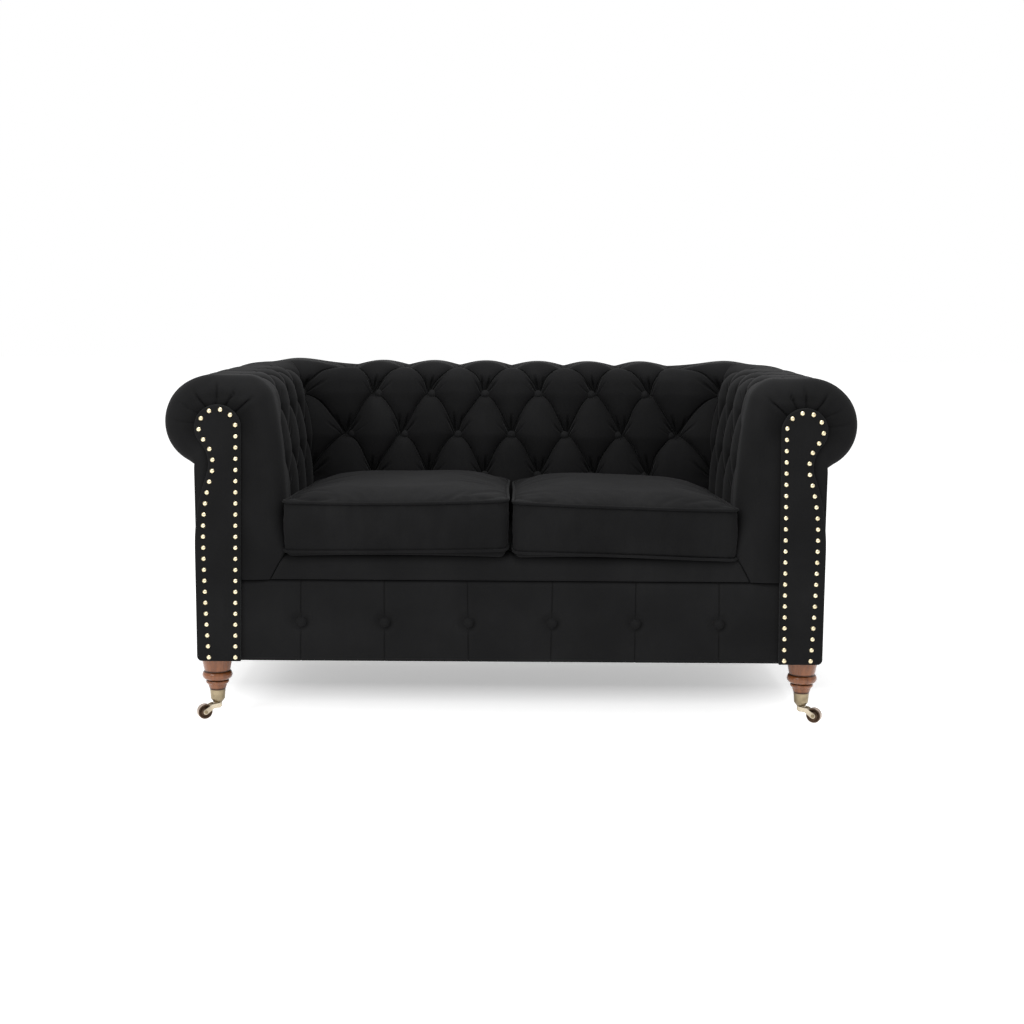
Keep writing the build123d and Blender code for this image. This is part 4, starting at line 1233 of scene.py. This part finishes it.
def make_wheel(side, word):
    low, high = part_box("castor_wheel_" + word)
    bm = bmesh.new()
    points = [bm.verts.new((0, y, r)) for r, y in wheel_section]
    points += [bm.verts.new((0, -y, r)) for r, y in wheel_section[-2::-1]]
    for first, second in zip(points, points[1:] + points):
        bm.edges.new((first, second))
    drawn = bm.verts[:] + bm.edges[:]
    bmesh.ops.spin(
        bm, geom=drawn, cent=(0, 0, 0), axis=(0, 1, 0), angle=math.tau, steps=40, use_merge=True
    )
    bmesh.ops.remove_doubles(bm, verts=bm.verts[:], dist=1e-6)
    for face in bm.faces:
        centre = face.calc_center_median()
        face.material_index = int(math.hypot(centre.x, centre.z) > tread_radius)
    turn = Matrix.Rotation(-side * wheel_turn, 4, "Z")
    bmesh.ops.transform(bm, matrix=Matrix.Translation((low + high) / 2) @ turn, verts=bm.verts[:])
    name, body = "wheel_" + word + "_turned", "wheel_" + word
    return make_piece(name, bm, wheel_dark, tread_brass, body=body, slot="wheel_brass")


for side, word in sides.items():
    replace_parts(make_wheel(side, word), "castor_wheel_" + word)

# Finishes of the pieces that stay as they were cut and turned
kept_finishes = {
    "facing_nails": nail_brass,
    "buttons": plain_velvet,
    "front_leg": turned_polish,
    "rear_leg": leg_polish,
    "castor_wheel": wheel_dark,
    "castor_fork": fork_brass,
    "castor": castor_brass,
    "rear_glides": glide_plastic,
    "spring": spring_steel,
    "leg_bolts": spring_steel,
    "webbing": jute_webbing,
}
for name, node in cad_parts.items():
    finish = next((value for word, value in kept_finishes.items() if word in name), frame_wood)
    node.data.materials.clear()
    node.data.materials.append(finish)


# Floor, light and camera
def seen_or_mirrored(tree):
    """1 for what the camera, metal or glass sees, 0 for what lights the sofa."""
    path = add_node(tree, "LightPath").outputs
    rays = [Value(path["Is " + kind + " Ray"]) for kind in ("Camera", "Glossy", "Transmission")]
    return rays[0].calc("MAXIMUM", rays[1]).calc("MAXIMUM", rays[2])


matt_white = {"Base Color": (0.9, 0.9, 0.9, 1), "Roughness": 0.9, "Specular IOR Level": 0.1}
matt_white["Emission Color"] = (1, 1, 1, 1)
floor_paint, floor_tree, floor_surface = new_material("floor_paint", matt_white)
# Painted light: for the camera the floor glows, more strongly towards the front, fading the sofa's shadow
# ahead of it.
painted_light_ahead = object_place(floor_tree).parts()[1].remap(-0.22, -0.03, 0.74, 0.40)
link(seen_or_mirrored(floor_tree) * painted_light_ahead, floor_surface["Emission Strength"])

bm = bmesh.new()
bmesh.ops.create_grid(bm, x_segments=1, y_segments=1, size=20)
floor_mesh = bpy.data.meshes.new("floor")
bm.to_mesh(floor_mesh)
bm.free()
floor_mesh.materials.append(floor_paint)
put_in_scene("floor", floor_mesh)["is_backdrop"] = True

world = bpy.data.worlds.new("studio")
world.use_nodes = True
sky = world.node_tree.nodes["Background"].inputs
sky["Color"].default_value = (1, 1, 1, 1)
link(seen_or_mirrored(world.node_tree) * 0.2 + 0.8, sky["Strength"])
bpy.context.scene.world = world


def soft_lamp(name, place, aim, size, power):
    data = bpy.data.lights.new(name, "AREA")
    data.shape = "RECTANGLE"
    data.size, data.size_y = size
    data.energy = power
    lamp = put_in_scene(name, data)
    lamp.location = place
    lamp.rotation_euler = (Vector(aim) - Vector(place)).to_track_quat("-Z", "Y").to_euler()
    lamp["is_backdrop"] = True


soft_lamp("overhead", (0.0, -0.8, 3.2), (0, 0, 0.4), (3.0, 2.2), 70)
soft_lamp("front_left", (-2.6, -3.2, 2.4), (0, 0, 0.4), (1.6, 1.6), 40)

camera_pitch = math.radians(90 - 7.832)
camera_roll = math.radians(0.38)
camera_data = bpy.data.cameras.new("camera")
camera_data.sensor_width = 36
camera_data.lens = 55.17
camera = put_in_scene("camera", camera_data)
camera.location = (0.003, -3.9167, 0.9753)
camera_turn = Matrix.Rotation(camera_pitch, 3, "X") @ Matrix.Rotation(camera_roll, 3, "Z")
camera.rotation_euler = camera_turn.to_euler()
bpy.context.scene.camera = camera
bpy.context.scene.view_settings.view_transform = "Standard"

low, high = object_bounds()
